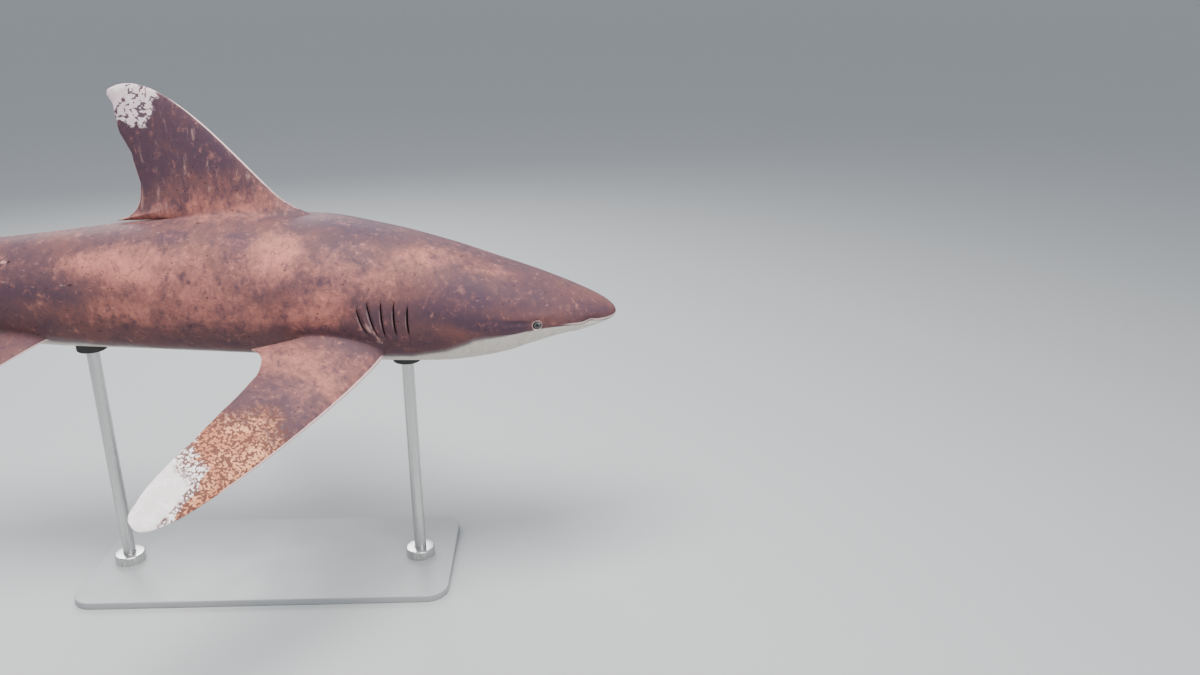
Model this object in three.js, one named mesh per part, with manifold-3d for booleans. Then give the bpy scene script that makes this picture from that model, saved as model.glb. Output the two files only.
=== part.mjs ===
// A life-size museum model of an oceanic whitetip shark (Carcharhinus longimanus) on a plain display stand.
// Millimetres, +Z up, and the shark faces +X. The origin is the middle of the underside of the stand's base.
// The shark itself is laid out in percent of its length, as [s, y, z]: s behind the tip of the snout,
// y towards the shark's left, z above the tip of the snout, as if it lay level with its tail straight.
import * as THREE from "three";
import { mergeVertices } from "three/addons/utils/BufferGeometryUtils.js";
import Module from "manifold-3d";

const wasm = await Module();
wasm.setup();

// ---- Driving dimensions ----
const LENGTH = 2300; // snout tip to the tip of the upper tail lobe, along the body
const PERCENT = LENGTH / 100; // one percent of the length, in mm
const MM = 1 / PERCENT; // one mm, in percent of the length
const GAP = 0.3 * MM; // left between neighbouring solids
const SNOUT_HEIGHT = 600; // mm, snout tip above the floor
const NOSE_DOWN = 0.0474; // radians
const BALANCE = 33.5; // the percent of the length that stands over the middle of the base

// Sections of the body: s, half width, top, depth below the snout's level, height of the widest place.
const SECTIONS = [
  [0, 0, 0, 0, 0],
  [1, 1.95, 1.05, 0.6, 0],
  [3, 3.25, 1.95, 1.15, 0],
  [5, 4.1, 2.7, 1.6, 0],
  [7.5, 4.85, 3.55, 2.5, 0],
  [11, 5.6, 4.6, 3.8, 0.1],
  [15.5, 6.05, 5.95, 4.65, 0.4],
  [21, 6.35, 7.2, 4.85, 0.9],
  [27, 6.4, 8.0, 4.75, 1.2],
  [33, 6.15, 7.95, 4.6, 1.2],
  [41, 5.45, 7.0, 4.6, 0.9],
  [50, 4.25, 5.5, 4.7, 0.4],
  [61, 2.8, 3.85, 3.8, 0.1],
  [71, 1.55, 2.55, 2.15, 0.2],
  [73.6, 1.35, 2.15, 1.95, 0.2],
  [77, 1.05, 1.95, 2.2, 0.1],
  [81, 0.72, 1.6, 2.8, 0],
  [86, 0.5, 1.4, 3.15, 0],
  [91, 0.36, 1.25, 3.3, 0],
  [95.5, 0.26, 1.15, 3.05, 0],
  [98, 0.18, 0.95, 2.15, 0],
  [99.4, 0.1, 0.6, 1.1, 0],
  [100, 0, 0, 0, 0],
];
const BACK_ROUNDNESS = 2.1; // exponents of the sections' superellipses
const BELLY_ROUNDNESS = 2.3;
const SNOUT_SQUARENESS = { extra: 0.9, reach: 9 };
const WEB = { roundness: 0.75, from: 73.5, to: 81, edge: 0.6 * MM }; // the upper lobe's blade
const TAIL_NOTCH = { s: 93.7, reach: 0.5, depth: 1.3 };

// The tail swings to the left along one arc, and the upper lobe climbs along another.
const SWING = { from: 50, radius: 170 };
const CLIMB = { from: 71.5, radius: 14.3, angle: 0.63 };

// Where the body is parted: snout to gills, gills, trunk, tail stock, upper lobe.
const HEAD_END = 17;
const GILLS_END = 23.5;
const TRUNK_END = 50;
const STOCK_END = 73.2;
const SIDES = 28; // flats round each section

// Head details
const EYE = { s: 7.16, z: -0.06, ball: 13 * MM, showing: 8 * MM };
const NOSTRIL = { s: 3.55, y: 2.85, length: 13 * MM, width: 4.5 * MM, depth: 6 * MM, turned: 0.6 };
const MOUTH = { front: 6.6, corner: 10.9, halfWidth: 4.3, roof: -1.05, opening: 2 * MM, end: 16.4 };
// Gill slits, front to back: s and z of the upper end, then of the lower end.
const SLITS = [
  [18.15, 1.75, 18.05, -0.95],
  [19.3, 2.1, 19.15, -0.95],
  [20.4, 2.15, 20.1, -1.1],
  [21.6, 2.1, 20.85, -0.75],
  [22.45, 1.45, 21.75, -0.65],
];
const SLIT = { width: 2.6 * MM, depth: 12 * MM, bow: 0.12 };

// Stand, in mm
const BASE = { length: 800, width: 340, height: 16, corner: 45, chamfer: 2 };
const ROD_PLACES = { front: 19.2, rear: 47.8 }; // percent of the length
const ROD_RADIUS = 13;
const COLLAR = { radius: 32, height: 20, round: 3 };
const PAD = { radius: 30, thickness: 16 };

const COLOURS = { back: 0x8d6a60, fin: 0x96756a, tip: 0xd8cfc6, belly: 0xd9d5d0, eye: 0x2b2f33 };

// ---- Helpers ----
const lerp = THREE.MathUtils.lerp;
const smoothstep = THREE.MathUtils.smoothstep;

// A smooth curve through the points that never overshoots them (monotone cubic).
function smoothThrough(xs, ys) {
  const rises = xs.slice(1).map((x, i) => (ys[i + 1] - ys[i]) / (x - xs[i]));
  const slopes = xs.map((x, i) => {
    if (i === 0) return rises[0];
    if (i === rises.length) return rises[i - 1];
    if (rises[i - 1] * rises[i] <= 0) return 0;
    const [before, after] = [x - xs[i - 1], xs[i + 1] - x];
    return (3 * (before + after)) / ((2 * after + before) / rises[i - 1] + (after + 2 * before) / rises[i]);
  });
  return (x) => {
    const found = xs.findIndex((knot) => knot >= x);
    const i = Math.min(Math.max(found < 0 ? rises.length : found, 1), rises.length) - 1;
    const step = xs[i + 1] - xs[i];
    const t = (x - xs[i]) / step;
    const blend = t * t * (3 - 2 * t);
    const [leave, arrive] = [t * (1 - t) ** 2 * step, t * t * (t - 1) * step];
    return lerp(ys[i], ys[i + 1], blend) + slopes[i] * leave + slopes[i + 1] * arrive;
  };
}

// A closed geometry as a manifold-3d solid, turned the right way out.
function solid(geometry) {
  const bare = geometry.clone().deleteAttribute("normal").deleteAttribute("uv");
  const merged = mergeVertices(bare, 1e-3);
  const make = (triVerts) =>
    new wasm.Manifold(
      new wasm.Mesh({ numProp: 3, vertProperties: merged.attributes.position.array, triVerts }),
    );
  const corners = Uint32Array.from(merged.index.array);
  const made = make(corners);
  return made.volume() > 0 ? made : make(corners.reverse());
}

// The largest of a solid's separate bodies.
function largest(made) {
  return made.decompose().reduce((best, body) => (body.volume() > best.volume() ? body : best));
}

// Moves every vertex of a geometry by a function from [x, y, z] to [x, y, z].
function mapped(geometry, place) {
  const at = geometry.attributes.position;
  for (let i = 0; i < at.count; i++) at.setXYZ(i, ...place(at.getX(i), at.getY(i), at.getZ(i)));
  return geometry;
}

// A ball of rows and flats, whose vertices go where place(row, turn) says. Rows run from pole to pole.
function rowed(flats, rows, place) {
  const geometry = new THREE.SphereGeometry(1, flats, rows);
  const { position, uv } = geometry.attributes;
  for (let i = 0; i < position.count; i++) {
    const row = Math.round((1 - uv.getY(i)) * rows);
    const turn = (uv.getX(i) - 0.25) * 2 * Math.PI;
    position.setXYZ(i, ...place(row, turn));
  }
  return geometry;
}

// ---- From the shark's percent to the world's mm ----
// The tail's climb in the side plane, as [s, z] along a level line.
function climbed(s, z) {
  const turn = THREE.MathUtils.clamp((s - CLIMB.from) / CLIMB.radius, 0, CLIMB.angle);
  const beyond = Math.max(s - CLIMB.from - CLIMB.radius * CLIMB.angle, 0);
  const [c, d] = [Math.cos(turn), Math.sin(turn)];
  const back = Math.min(s, CLIMB.from) + CLIMB.radius * d + beyond * c - z * d;
  return [back, CLIMB.radius * (1 - c) + beyond * d + z * c];
}

// A point whose s and z lie along a level line, in the world.
function level(s, y, z) {
  const turn = Math.max(s - SWING.from, 0) / SWING.radius;
  const x = -Math.min(s, SWING.from) - SWING.radius * Math.sin(turn) + y * Math.sin(turn);
  const side = SWING.radius * (1 - Math.cos(turn)) + y * Math.cos(turn);
  const [c, d] = [Math.cos(NOSE_DOWN), Math.sin(NOSE_DOWN)];
  return [(x * c + z * d + BALANCE) * PERCENT, side * PERCENT, (z * c - x * d) * PERCENT + SNOUT_HEIGHT];
}

const inWorld = (s, y, z) => {
  const [back, up] = climbed(s, z);
  return level(back, y, up);
};

// ---- Body ----
const rootOfS = SECTIONS.map((row) => Math.sqrt(row[0]));
const [halfWidth, top, depth, waist] = [1, 2, 3, 4].map((column) => {
  const curve = smoothThrough(rootOfS, SECTIONS.map((row) => row[column]));
  return (s) => curve(Math.sqrt(s));
});

// A point of the body's surface, as [s, y, z], at the angle `turn` from its left side towards its back.
function surface(s, turn, out = 0) {
  const [c, d] = [Math.cos(turn), Math.sin(turn)];
  const web = smoothstep(s, WEB.from, WEB.to);
  const snout = SNOUT_SQUARENESS.extra * Math.exp(-((s / SNOUT_SQUARENESS.reach) ** 2));
  const belly = lerp(BELLY_ROUNDNESS + snout, WEB.roundness, web);
  const notch = TAIL_NOTCH.depth * Math.exp(-(((s - TAIL_NOTCH.s) / TAIL_NOTCH.reach) ** 2));
  const power = 2 / (d >= 0 ? BACK_ROUNDNESS : belly);
  const reach = d >= 0 ? top(s) - waist(s) + out : -(depth(s) - notch + waist(s) + out);
  const y = (halfWidth(s) + out) * Math.abs(c) ** power + WEB.edge * web * Math.sqrt(Math.abs(c));
  return [s, y * Math.sign(c), waist(s) + reach * Math.abs(d) ** power];
}

// The body through the stations, closed flat at both ends (or to a point where the section is one).
function bodyThrough(stations, out = 0) {
  const last = stations.length - 1;
  return rowed(SIDES, last + 2, (row, turn) => {
    const s = stations[THREE.MathUtils.clamp(row - 1, 0, last)];
    if (row === 0 || row === last + 2) return inWorld(s, 0, waist(s));
    return inWorld(...surface(s, turn, out));
  });
}

// Evenly spaced stations, the last one a gap short of its neighbour's first.
function stationsBetween(from, to, count, gap = GAP) {
  return Array.from({ length: count + 1 }, (_, i) => lerp(from, to - gap, i / count));
}

const headStations = Array.from({ length: 14 }, (_, i) => (HEAD_END - GAP) * ((i + 1) / 14) ** 2);
const gillStations = stationsBetween(HEAD_END, GILLS_END, 4);
const trunkStations = stationsBetween(GILLS_END, TRUNK_END, 11);
const stockStations = stationsBetween(TRUNK_END, STOCK_END, 10);
const lobeStations = [
  ...stationsBetween(STOCK_END, 92, 9),
  ...stationsBetween(92.7, 94.7, 4, 0),
  ...[96, 97.4, 98.5, 99.3, 99.8],
];
// The whole body a gap larger, to cut what is fixed to it.
const cutter = solid(
  bodyThrough([...gillStations, ...trunkStations, ...stockStations, ...lobeStations], GAP),
);

// ---- Head ----
// Both sides of the mouth and jaw: the block that the lower jaw fills, smaller all round by `inset`.
function jawBlock(inset, frontInset) {
  const [side, front] = [MOUTH.halfWidth - inset, MOUTH.front + frontInset];
  const outline = new THREE.Shape();
  outline.moveTo(MOUTH.end - inset, -side);
  outline.lineTo(MOUTH.corner + frontInset, -side);
  const pull = 2 * front - (MOUTH.corner + frontInset); // the arc's middle then lies at `front`
  outline.quadraticCurveTo(pull, 0, MOUTH.corner + frontInset, side);
  outline.lineTo(MOUTH.end - inset, side);
  const below = -7; // under the whole head
  const block = new THREE.ExtrudeGeometry(outline, {
    depth: MOUTH.roof - inset - below,
    bevelEnabled: false,
    curveSegments: 12,
  });
  return solid(mapped(block, (s, y, z) => inWorld(s, y, z + below)));
}

// One gill slit: a thin bowed lens in the side plane, run in from outside the skin on one side.
function slitBlade([topS, topZ, bottomS, bottomZ], side) {
  const [s, z] = [(topS + bottomS) / 2 + SLIT.bow, (topZ + bottomZ) / 2];
  const outline = new THREE.Shape();
  outline.moveTo(topS, topZ);
  outline.quadraticCurveTo(s - SLIT.width, z, bottomS, bottomZ);
  outline.quadraticCurveTo(s + SLIT.width, z, topS, topZ);
  const outside = 8; // beyond the widest section
  const inside = halfWidth(topS) - SLIT.depth;
  const blade = new THREE.ExtrudeGeometry(outline, {
    depth: outside - inside,
    bevelEnabled: false,
    curveSegments: 3,
  });
  return solid(mapped(blade, (a, b, y) => inWorld(a, side * (inside + y), b)));
}

function nostrilPocket(side) {
  const ball = new THREE.SphereGeometry(1, 10, 8);
  ball.scale(NOSTRIL.length, NOSTRIL.width, NOSTRIL.depth).rotateZ(NOSTRIL.turned);
  const floor = surface(NOSTRIL.s, -Math.PI / 3)[2];
  return solid(mapped(ball, (s, y, z) => inWorld(s + NOSTRIL.s, side * (y + NOSTRIL.y), z + floor)));
}

function eyeball(side, out = 0) {
  const ball = new THREE.SphereGeometry(EYE.ball + out, 12, 10);
  const sunk = Math.sqrt(EYE.ball ** 2 - EYE.showing ** 2);
  const centre = halfWidth(EYE.s) - sunk;
  return solid(mapped(ball, (s, y, z) => inWorld(s + EYE.s, side * (y + centre), z + EYE.z)));
}

const wholeHead = solid(bodyThrough(headStations));
const head = [-1, 1]
  .flatMap((side) => [nostrilPocket(side), eyeball(side, GAP)])
  .reduce((made, cut) => made.subtract(cut), wholeHead.subtract(jawBlock(0, 0)));
const lowerJaw = wholeHead.intersect(jawBlock(GAP, MOUTH.opening));
const gills = [-1, 1]
  .flatMap((side) => SLITS.map((slit) => slitBlade(slit, side)))
  .reduce((made, cut) => made.subtract(cut), solid(bodyThrough(gillStations)));

// ---- Fins ----
// Each fin is drawn in its own plane as [a, h]: a along its root, h out from its root. The leading edge
// and the trailing edge run from root to tip, and the trailing edge turns at the free rear tip.
const curve = (...points) =>
  new THREE.CubicBezierCurve(...points.map(([a, h]) => new THREE.Vector2(a, h)));
const REAR_TIP_LEVEL = 0.16; // the share of the span's levels that the inner margin takes
const EDGE = 0.6 * MM; // half the thickness of a thin edge

const DORSAL = {
  lead: curve([28.9, 7.6], [33.1, 12.4], [39.6, 20.9], [43.7, 18]),
  insertion: [40.2, 6.9],
  trail: curve([44.2, 6.85], [39.3, 7.9], [43.5, 14.4], [43.7, 18]),
  sunk: 3,
  thick: 0.78,
  tipThick: 0.1,
  levels: 13,
  flats: 16,
  place: (s, z, off) => level(s, off, z),
};
const SECOND_DORSAL = {
  lead: curve([63.6, 3.3], [65.6, 4.6], [66.6, 6.9], [68.6, 6.3]),
  insertion: [68, 2.7],
  trail: curve([71.8, 2.75], [69.2, 3.1], [68.4, 4.6], [68.6, 6.3]),
  sunk: 1.5,
  thick: 0.36,
  tipThick: 0.06,
  levels: 8,
  flats: 12,
  place: (s, z, off) => inWorld(s, off, z),
};
const ANAL = {
  lead: curve([62.8, 3.4], [65.2, 4.4], [66.3, 8.1], [68.3, 7.6]),
  insertion: [67.2, 2.5],
  trail: curve([70.9, 2.7], [68.2, 3.1], [67.5, 5.3], [68.3, 7.6]),
  sunk: 1.5,
  thick: 0.38,
  tipThick: 0.06,
  levels: 8,
  flats: 12,
  place: (s, z, off) => inWorld(s, off, -z),
};
const LOWER_LOBE = {
  lead: curve([73.6, 1.4], [76.6, 3.2], [80.2, 10.9], [82.4, 10.6]),
  insertion: [80.6, -0.6],
  trail: curve([81.1, -0.5], [79.4, 2.2], [83.4, 7.2], [82.4, 10.6]),
  sunk: 1.2,
  thick: 0.62,
  tipThick: 0.07,
  levels: 10,
  flats: 14,
  place: (s, z, off) => level(s, off, -z),
};

// A paired fin: its root's front end, the direction of its root, and how its span droops outwards.
function pairedPlace({ origin, along, droop, droopGain }, side) {
  const root = new THREE.Vector3(...along).normalize();
  return (a, h, off) => {
    const middle = droop + (droopGain * h) / 2; // the mean slope from the root out to h
    const slope = droop + droopGain * h;
    const spanned = new THREE.Vector3(0, Math.cos(middle), -Math.sin(middle)).multiplyScalar(h);
    const across = new THREE.Vector3(0, Math.cos(slope), -Math.sin(slope));
    const normal = new THREE.Vector3().crossVectors(across, root).normalize();
    const at = new THREE.Vector3(...origin).addScaledVector(root, a).add(spanned);
    at.addScaledVector(normal, off);
    return inWorld(at.x, side * at.y, at.z);
  };
}

const PECTORAL = {
  lead: curve([-1.1, -0.4], [1.4, 7.3], [13.2, 23], [14.75, 19.6]),
  insertion: [6.3, 0],
  trail: curve([10.1, 2.25], [5.5, 3], [17, 18.4], [14.75, 19.6]),
  sunk: 3.5,
  thick: 0.72,
  tipThick: 0.1,
  levels: 13,
  flats: 16,
  root: { origin: [20.9, 5.2, -2.8], along: [6.4, 0.7, 1.2], droop: 0.35, droopGain: 0.0136 },
};
const PELVIC = {
  lead: curve([0, 0], [1.6, 1.5], [4.2, 5.9], [5.6, 5.1]),
  insertion: [4.7, 0],
  trail: curve([8, 1.3], [6.2, 1.5], [5.4, 3.4], [5.6, 5.1]),
  sunk: 2,
  thick: 0.36,
  tipThick: 0.07,
  levels: 9,
  flats: 12,
  root: { origin: [49.8, 3, -3.3], along: [4.6, -0.55, 0.3], droop: 0.5, droopGain: 0.01 },
};

// Half the thickness of a fin at the share k of its chord, from its leading edge, at the level t of its span.
function halfThickness(fin, k, t) {
  const section = (Math.sqrt(k) * (1 - k) ** 0.8) / 0.5;
  const rounded = EDGE * Math.sqrt(Math.sqrt(4 * k * (1 - k)));
  return (fin.tipThick + fin.thick * (1 - t) ** 1.25) * section + rounded;
}

// A fin cut to sit on the body. Its first row lies sunk in the body.
function finSolid(fin, place) {
  const rows = fin.levels + 2;
  const whole = rowed(fin.flats, rows, (row, turn) => {
    const t = row < 2 ? 0 : Math.sin(((row - 1) / (rows - 1)) * (Math.PI / 2));
    const front = fin.lead.getPoint(t);
    const past = (t - REAR_TIP_LEVEL) / (1 - REAR_TIP_LEVEL);
    const insertion = new THREE.Vector2(...fin.insertion);
    const rear =
      past < 0 ? insertion.lerp(fin.trail.getPoint(0), t / REAR_TIP_LEVEL) : fin.trail.getPoint(past);
    const k = row === 0 ? 0.5 : (1 - Math.cos(turn)) / 2;
    const at = front.clone().lerp(rear, k);
    if (row < 2) at.y -= fin.sunk;
    const flat = row === 0 || row === rows || Math.abs(Math.sin(turn)) < 1e-9;
    const half = flat ? 0 : halfThickness(fin, k, t) * Math.sign(Math.sin(turn));
    return place(at.x, at.y, half);
  });
  return largest(solid(whole).subtract(cutter));
}

// ---- Stand ----
function standBase() {
  const [x, y, r] = [BASE.length / 2 - BASE.chamfer, BASE.width / 2 - BASE.chamfer, BASE.corner];
  const outline = new THREE.Shape();
  outline.absarc(x - r, y - r, r, 0, Math.PI / 2);
  outline.absarc(r - x, y - r, r, Math.PI / 2, Math.PI);
  outline.absarc(r - x, r - y, r, Math.PI, 1.5 * Math.PI);
  outline.absarc(x - r, r - y, r, 1.5 * Math.PI, 2 * Math.PI);
  const plate = new THREE.ExtrudeGeometry(outline, {
    depth: BASE.height - 2 * BASE.chamfer,
    bevelThickness: BASE.chamfer,
    bevelSize: BASE.chamfer,
    bevelSegments: 1,
    curveSegments: 5,
  });
  return solid(plate.translate(0, 0, BASE.chamfer));
}

// A round piece turned about an upright axis, from [radius, height] points.
function turned(x, points) {
  const profile = points.map(([radius, height]) => new THREE.Vector2(radius, height));
  return new THREE.LatheGeometry(profile, 24).rotateX(Math.PI / 2).translate(x, 0, 0);
}

// One rod with the collar at its foot and the pad that carries the belly.
function rodPieces(s) {
  const gap = GAP * PERCENT;
  const [x, , belly] = inWorld(...surface(s, -Math.PI / 2));
  const floor = BASE.height + gap;
  const padFoot = belly - PAD.thickness;
  const rod = turned(x, [
    [0, floor],
    [ROD_RADIUS, floor],
    [ROD_RADIUS, padFoot - gap],
    [0, padFoot - gap],
  ]);
  const bore = ROD_RADIUS + gap;
  const collar = turned(x, [
    [bore, floor],
    [COLLAR.radius, floor],
    [COLLAR.radius, floor + COLLAR.height - COLLAR.round],
    [COLLAR.radius - COLLAR.round, floor + COLLAR.height],
    [bore, floor + COLLAR.height],
    [bore, floor],
  ]);
  const pad = turned(x, [
    [0, padFoot],
    [PAD.radius - COLLAR.round, padFoot],
    [PAD.radius, padFoot + COLLAR.round],
    [PAD.radius, belly + PAD.thickness],
    [0, belly + PAD.thickness],
  ]);
  return { rod: solid(rod), collar: solid(collar), pad: largest(solid(pad).subtract(cutter)) };
}

// ---- The model ----
const model = new THREE.Group();

function add(name, made, color, roughness, metalness = 0) {
  const { vertProperties, triVerts } = made.getMesh();
  const geometry = new THREE.BufferGeometry();
  geometry.setAttribute("position", new THREE.BufferAttribute(vertProperties, 3));
  geometry.setIndex(new THREE.BufferAttribute(triVerts, 1));
  geometry.computeVertexNormals();
  const mesh = new THREE.Mesh(geometry, new THREE.MeshStandardMaterial({ color, roughness, metalness }));
  mesh.name = name;
  model.add(mesh);
}

add("head", head, COLOURS.back, 0.55);
add("lower_jaw", lowerJaw, COLOURS.belly, 0.55);
add("gill_region", gills, COLOURS.back, 0.55);
add("trunk", solid(bodyThrough(trunkStations)), COLOURS.back, 0.55);
add("tail_stock", solid(bodyThrough(stockStations)), COLOURS.back, 0.55);
add("caudal_upper_lobe", solid(bodyThrough(lobeStations)), COLOURS.fin, 0.55);
add("caudal_lower_lobe", finSolid(LOWER_LOBE, LOWER_LOBE.place), COLOURS.fin, 0.55);
add("dorsal_fin_first", finSolid(DORSAL, DORSAL.place), COLOURS.fin, 0.55);
add("dorsal_fin_second", finSolid(SECOND_DORSAL, SECOND_DORSAL.place), COLOURS.fin, 0.55);
add("anal_fin", finSolid(ANAL, ANAL.place), COLOURS.fin, 0.55);
for (const [name, side] of [["left", 1], ["right", -1]]) {
  add(`pectoral_fin_${name}`, finSolid(PECTORAL, pairedPlace(PECTORAL.root, side)), COLOURS.tip, 0.55);
  add(`pelvic_fin_${name}`, finSolid(PELVIC, pairedPlace(PELVIC.root, side)), COLOURS.tip, 0.55);
  add(`eye_${name}`, eyeball(side), COLOURS.eye, 0.1);
}
add("stand_base", standBase(), 0x4a4d50, 0.5, 0.2);
for (const [name, s] of Object.entries(ROD_PLACES)) {
  const { rod, collar, pad } = rodPieces(s);
  add(`stand_rod_${name}`, rod, 0xb9bcbf, 0.3, 1);
  add(`stand_collar_${name}`, collar, 0xb9bcbf, 0.35, 1);
  add(`stand_pad_${name}`, pad, 0x2a2a2a, 0.8);
}

export default model;
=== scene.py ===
import math

import bmesh
import bpy
import numpy as np
from mathutils import Matrix, Vector


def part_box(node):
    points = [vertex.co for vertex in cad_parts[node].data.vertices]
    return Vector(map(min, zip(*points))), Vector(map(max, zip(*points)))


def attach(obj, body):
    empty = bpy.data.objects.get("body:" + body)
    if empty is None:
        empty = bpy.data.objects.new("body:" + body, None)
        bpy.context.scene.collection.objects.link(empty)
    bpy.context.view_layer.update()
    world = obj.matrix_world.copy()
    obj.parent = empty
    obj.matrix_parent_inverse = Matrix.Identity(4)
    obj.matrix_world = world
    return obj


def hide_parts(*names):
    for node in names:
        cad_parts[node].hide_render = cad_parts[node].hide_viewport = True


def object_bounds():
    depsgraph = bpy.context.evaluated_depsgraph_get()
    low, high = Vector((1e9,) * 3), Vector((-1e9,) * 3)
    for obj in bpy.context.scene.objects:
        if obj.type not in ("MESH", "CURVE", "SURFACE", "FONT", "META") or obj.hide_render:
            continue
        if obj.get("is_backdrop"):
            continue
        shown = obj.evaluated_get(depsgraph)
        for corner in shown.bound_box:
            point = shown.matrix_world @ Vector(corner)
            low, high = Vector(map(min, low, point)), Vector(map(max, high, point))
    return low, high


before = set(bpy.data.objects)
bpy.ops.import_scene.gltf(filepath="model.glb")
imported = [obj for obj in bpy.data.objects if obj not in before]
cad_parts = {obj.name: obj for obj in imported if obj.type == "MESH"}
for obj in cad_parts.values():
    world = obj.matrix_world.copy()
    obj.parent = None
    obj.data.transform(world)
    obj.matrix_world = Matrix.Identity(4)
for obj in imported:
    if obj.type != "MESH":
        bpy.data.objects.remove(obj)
cad_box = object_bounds()

# ---- Driving dimensions ----
LENGTH = 2.3  # metres
PERCENT = LENGTH / 100
MM = 0.001 / PERCENT  # one millimetre, in percent of the length
SNOUT_HEIGHT = 0.6  # metres
NOSE_DOWN = 0.0474  # radians
BALANCE = 33.5  # the percent of the length that stands over the middle of the base

# Sections of the body: s, half width, top, depth below the snout's level, height of the widest place.
SECTIONS = [
    (0, 0, 0, 0, 0),
    (1, 1.95, 1.05, 0.6, 0),
    (3, 3.25, 1.95, 1.15, 0),
    (5, 4.1, 2.7, 1.6, 0),
    (7.5, 4.85, 3.55, 2.5, 0),
    (11, 5.6, 4.6, 3.8, 0.1),
    (15.5, 6.05, 5.95, 4.65, 0.4),
    (21, 6.35, 7.2, 4.85, 0.9),
    (27, 6.4, 8.0, 4.75, 1.2),
    (33, 6.15, 7.95, 4.6, 1.2),
    (41, 5.45, 7.0, 4.6, 0.9),
    (50, 4.25, 5.5, 4.7, 0.4),
    (61, 2.8, 3.85, 3.8, 0.1),
    (71, 1.55, 2.55, 2.15, 0.2),
    (73.6, 1.35, 2.15, 1.95, 0.2),
    (77, 1.05, 1.95, 2.2, 0.1),
    (81, 0.72, 1.6, 2.8, 0),
    (86, 0.5, 1.4, 3.15, 0),
    (91, 0.36, 1.25, 3.3, 0),
    (95.5, 0.26, 1.15, 3.05, 0),
    (98, 0.18, 0.95, 2.15, 0),
    (99.4, 0.1, 0.6, 1.1, 0),
    (100, 0, 0, 0, 0),
]
BACK_ROUNDNESS = 2.1
BELLY_ROUNDNESS = 2.3
SNOUT_SQUARENESS = {"extra": 0.9, "reach": 9}
WEB = {"roundness": 0.75, "from": 73.5, "to": 81, "edge": 0.6 * MM}
TAIL_NOTCH = {"s": 93.7, "reach": 0.5, "depth": 1.3}
SWING = {"from": 50, "radius": 170}
CLIMB = {"from": 71.5, "radius": 14.3, "angle": 0.63}

# Head details
EYE = {"s": 7.16, "z": -0.06, "ball": 13 * MM, "showing": 8 * MM, "lid": 12.5 * MM, "gaze": (0.06, 0.03)}
NOSTRIL = {"s": 3.55, "y": 2.85, "long": 13 * MM, "wide": 4.5 * MM, "turned": 0.6}
MOUTH = {"front": 6.6, "corner": 10.9, "half_width": 4.3, "warp": (8.7, 16), "beyond": 0.12, "rows": 0.13}
# Across the mouth, from its upper lip to its lower one: mm behind its line, and mm that the skin sinks.
MOUTH_PROFILE = [(-5, -1.0), (-1.3, -0.5), (0.6, 7), (1.9, 0.4), (6, -0.8)]
# Gill slits, front to back: s and z of the upper end, then of the lower end.
SLITS = [
    (18.15, 1.75, 18.05, -0.95),
    (19.3, 2.1, 19.15, -0.95),
    (20.4, 2.15, 20.1, -1.1),
    (21.6, 2.1, 20.75, -1.1),
    (22.45, 1.45, 21.65, -0.9),
]
SLIT = {"bow": 0.12, "beyond": 0.16, "rows": 0.08}
# Across a slit, from the flap in front of it to its rear edge, in the same way.
SLIT_PROFILE = [(-2.4, -1.3), (-1.9, 7), (0.4, 8.5), (2.5, -0.3)]

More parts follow.
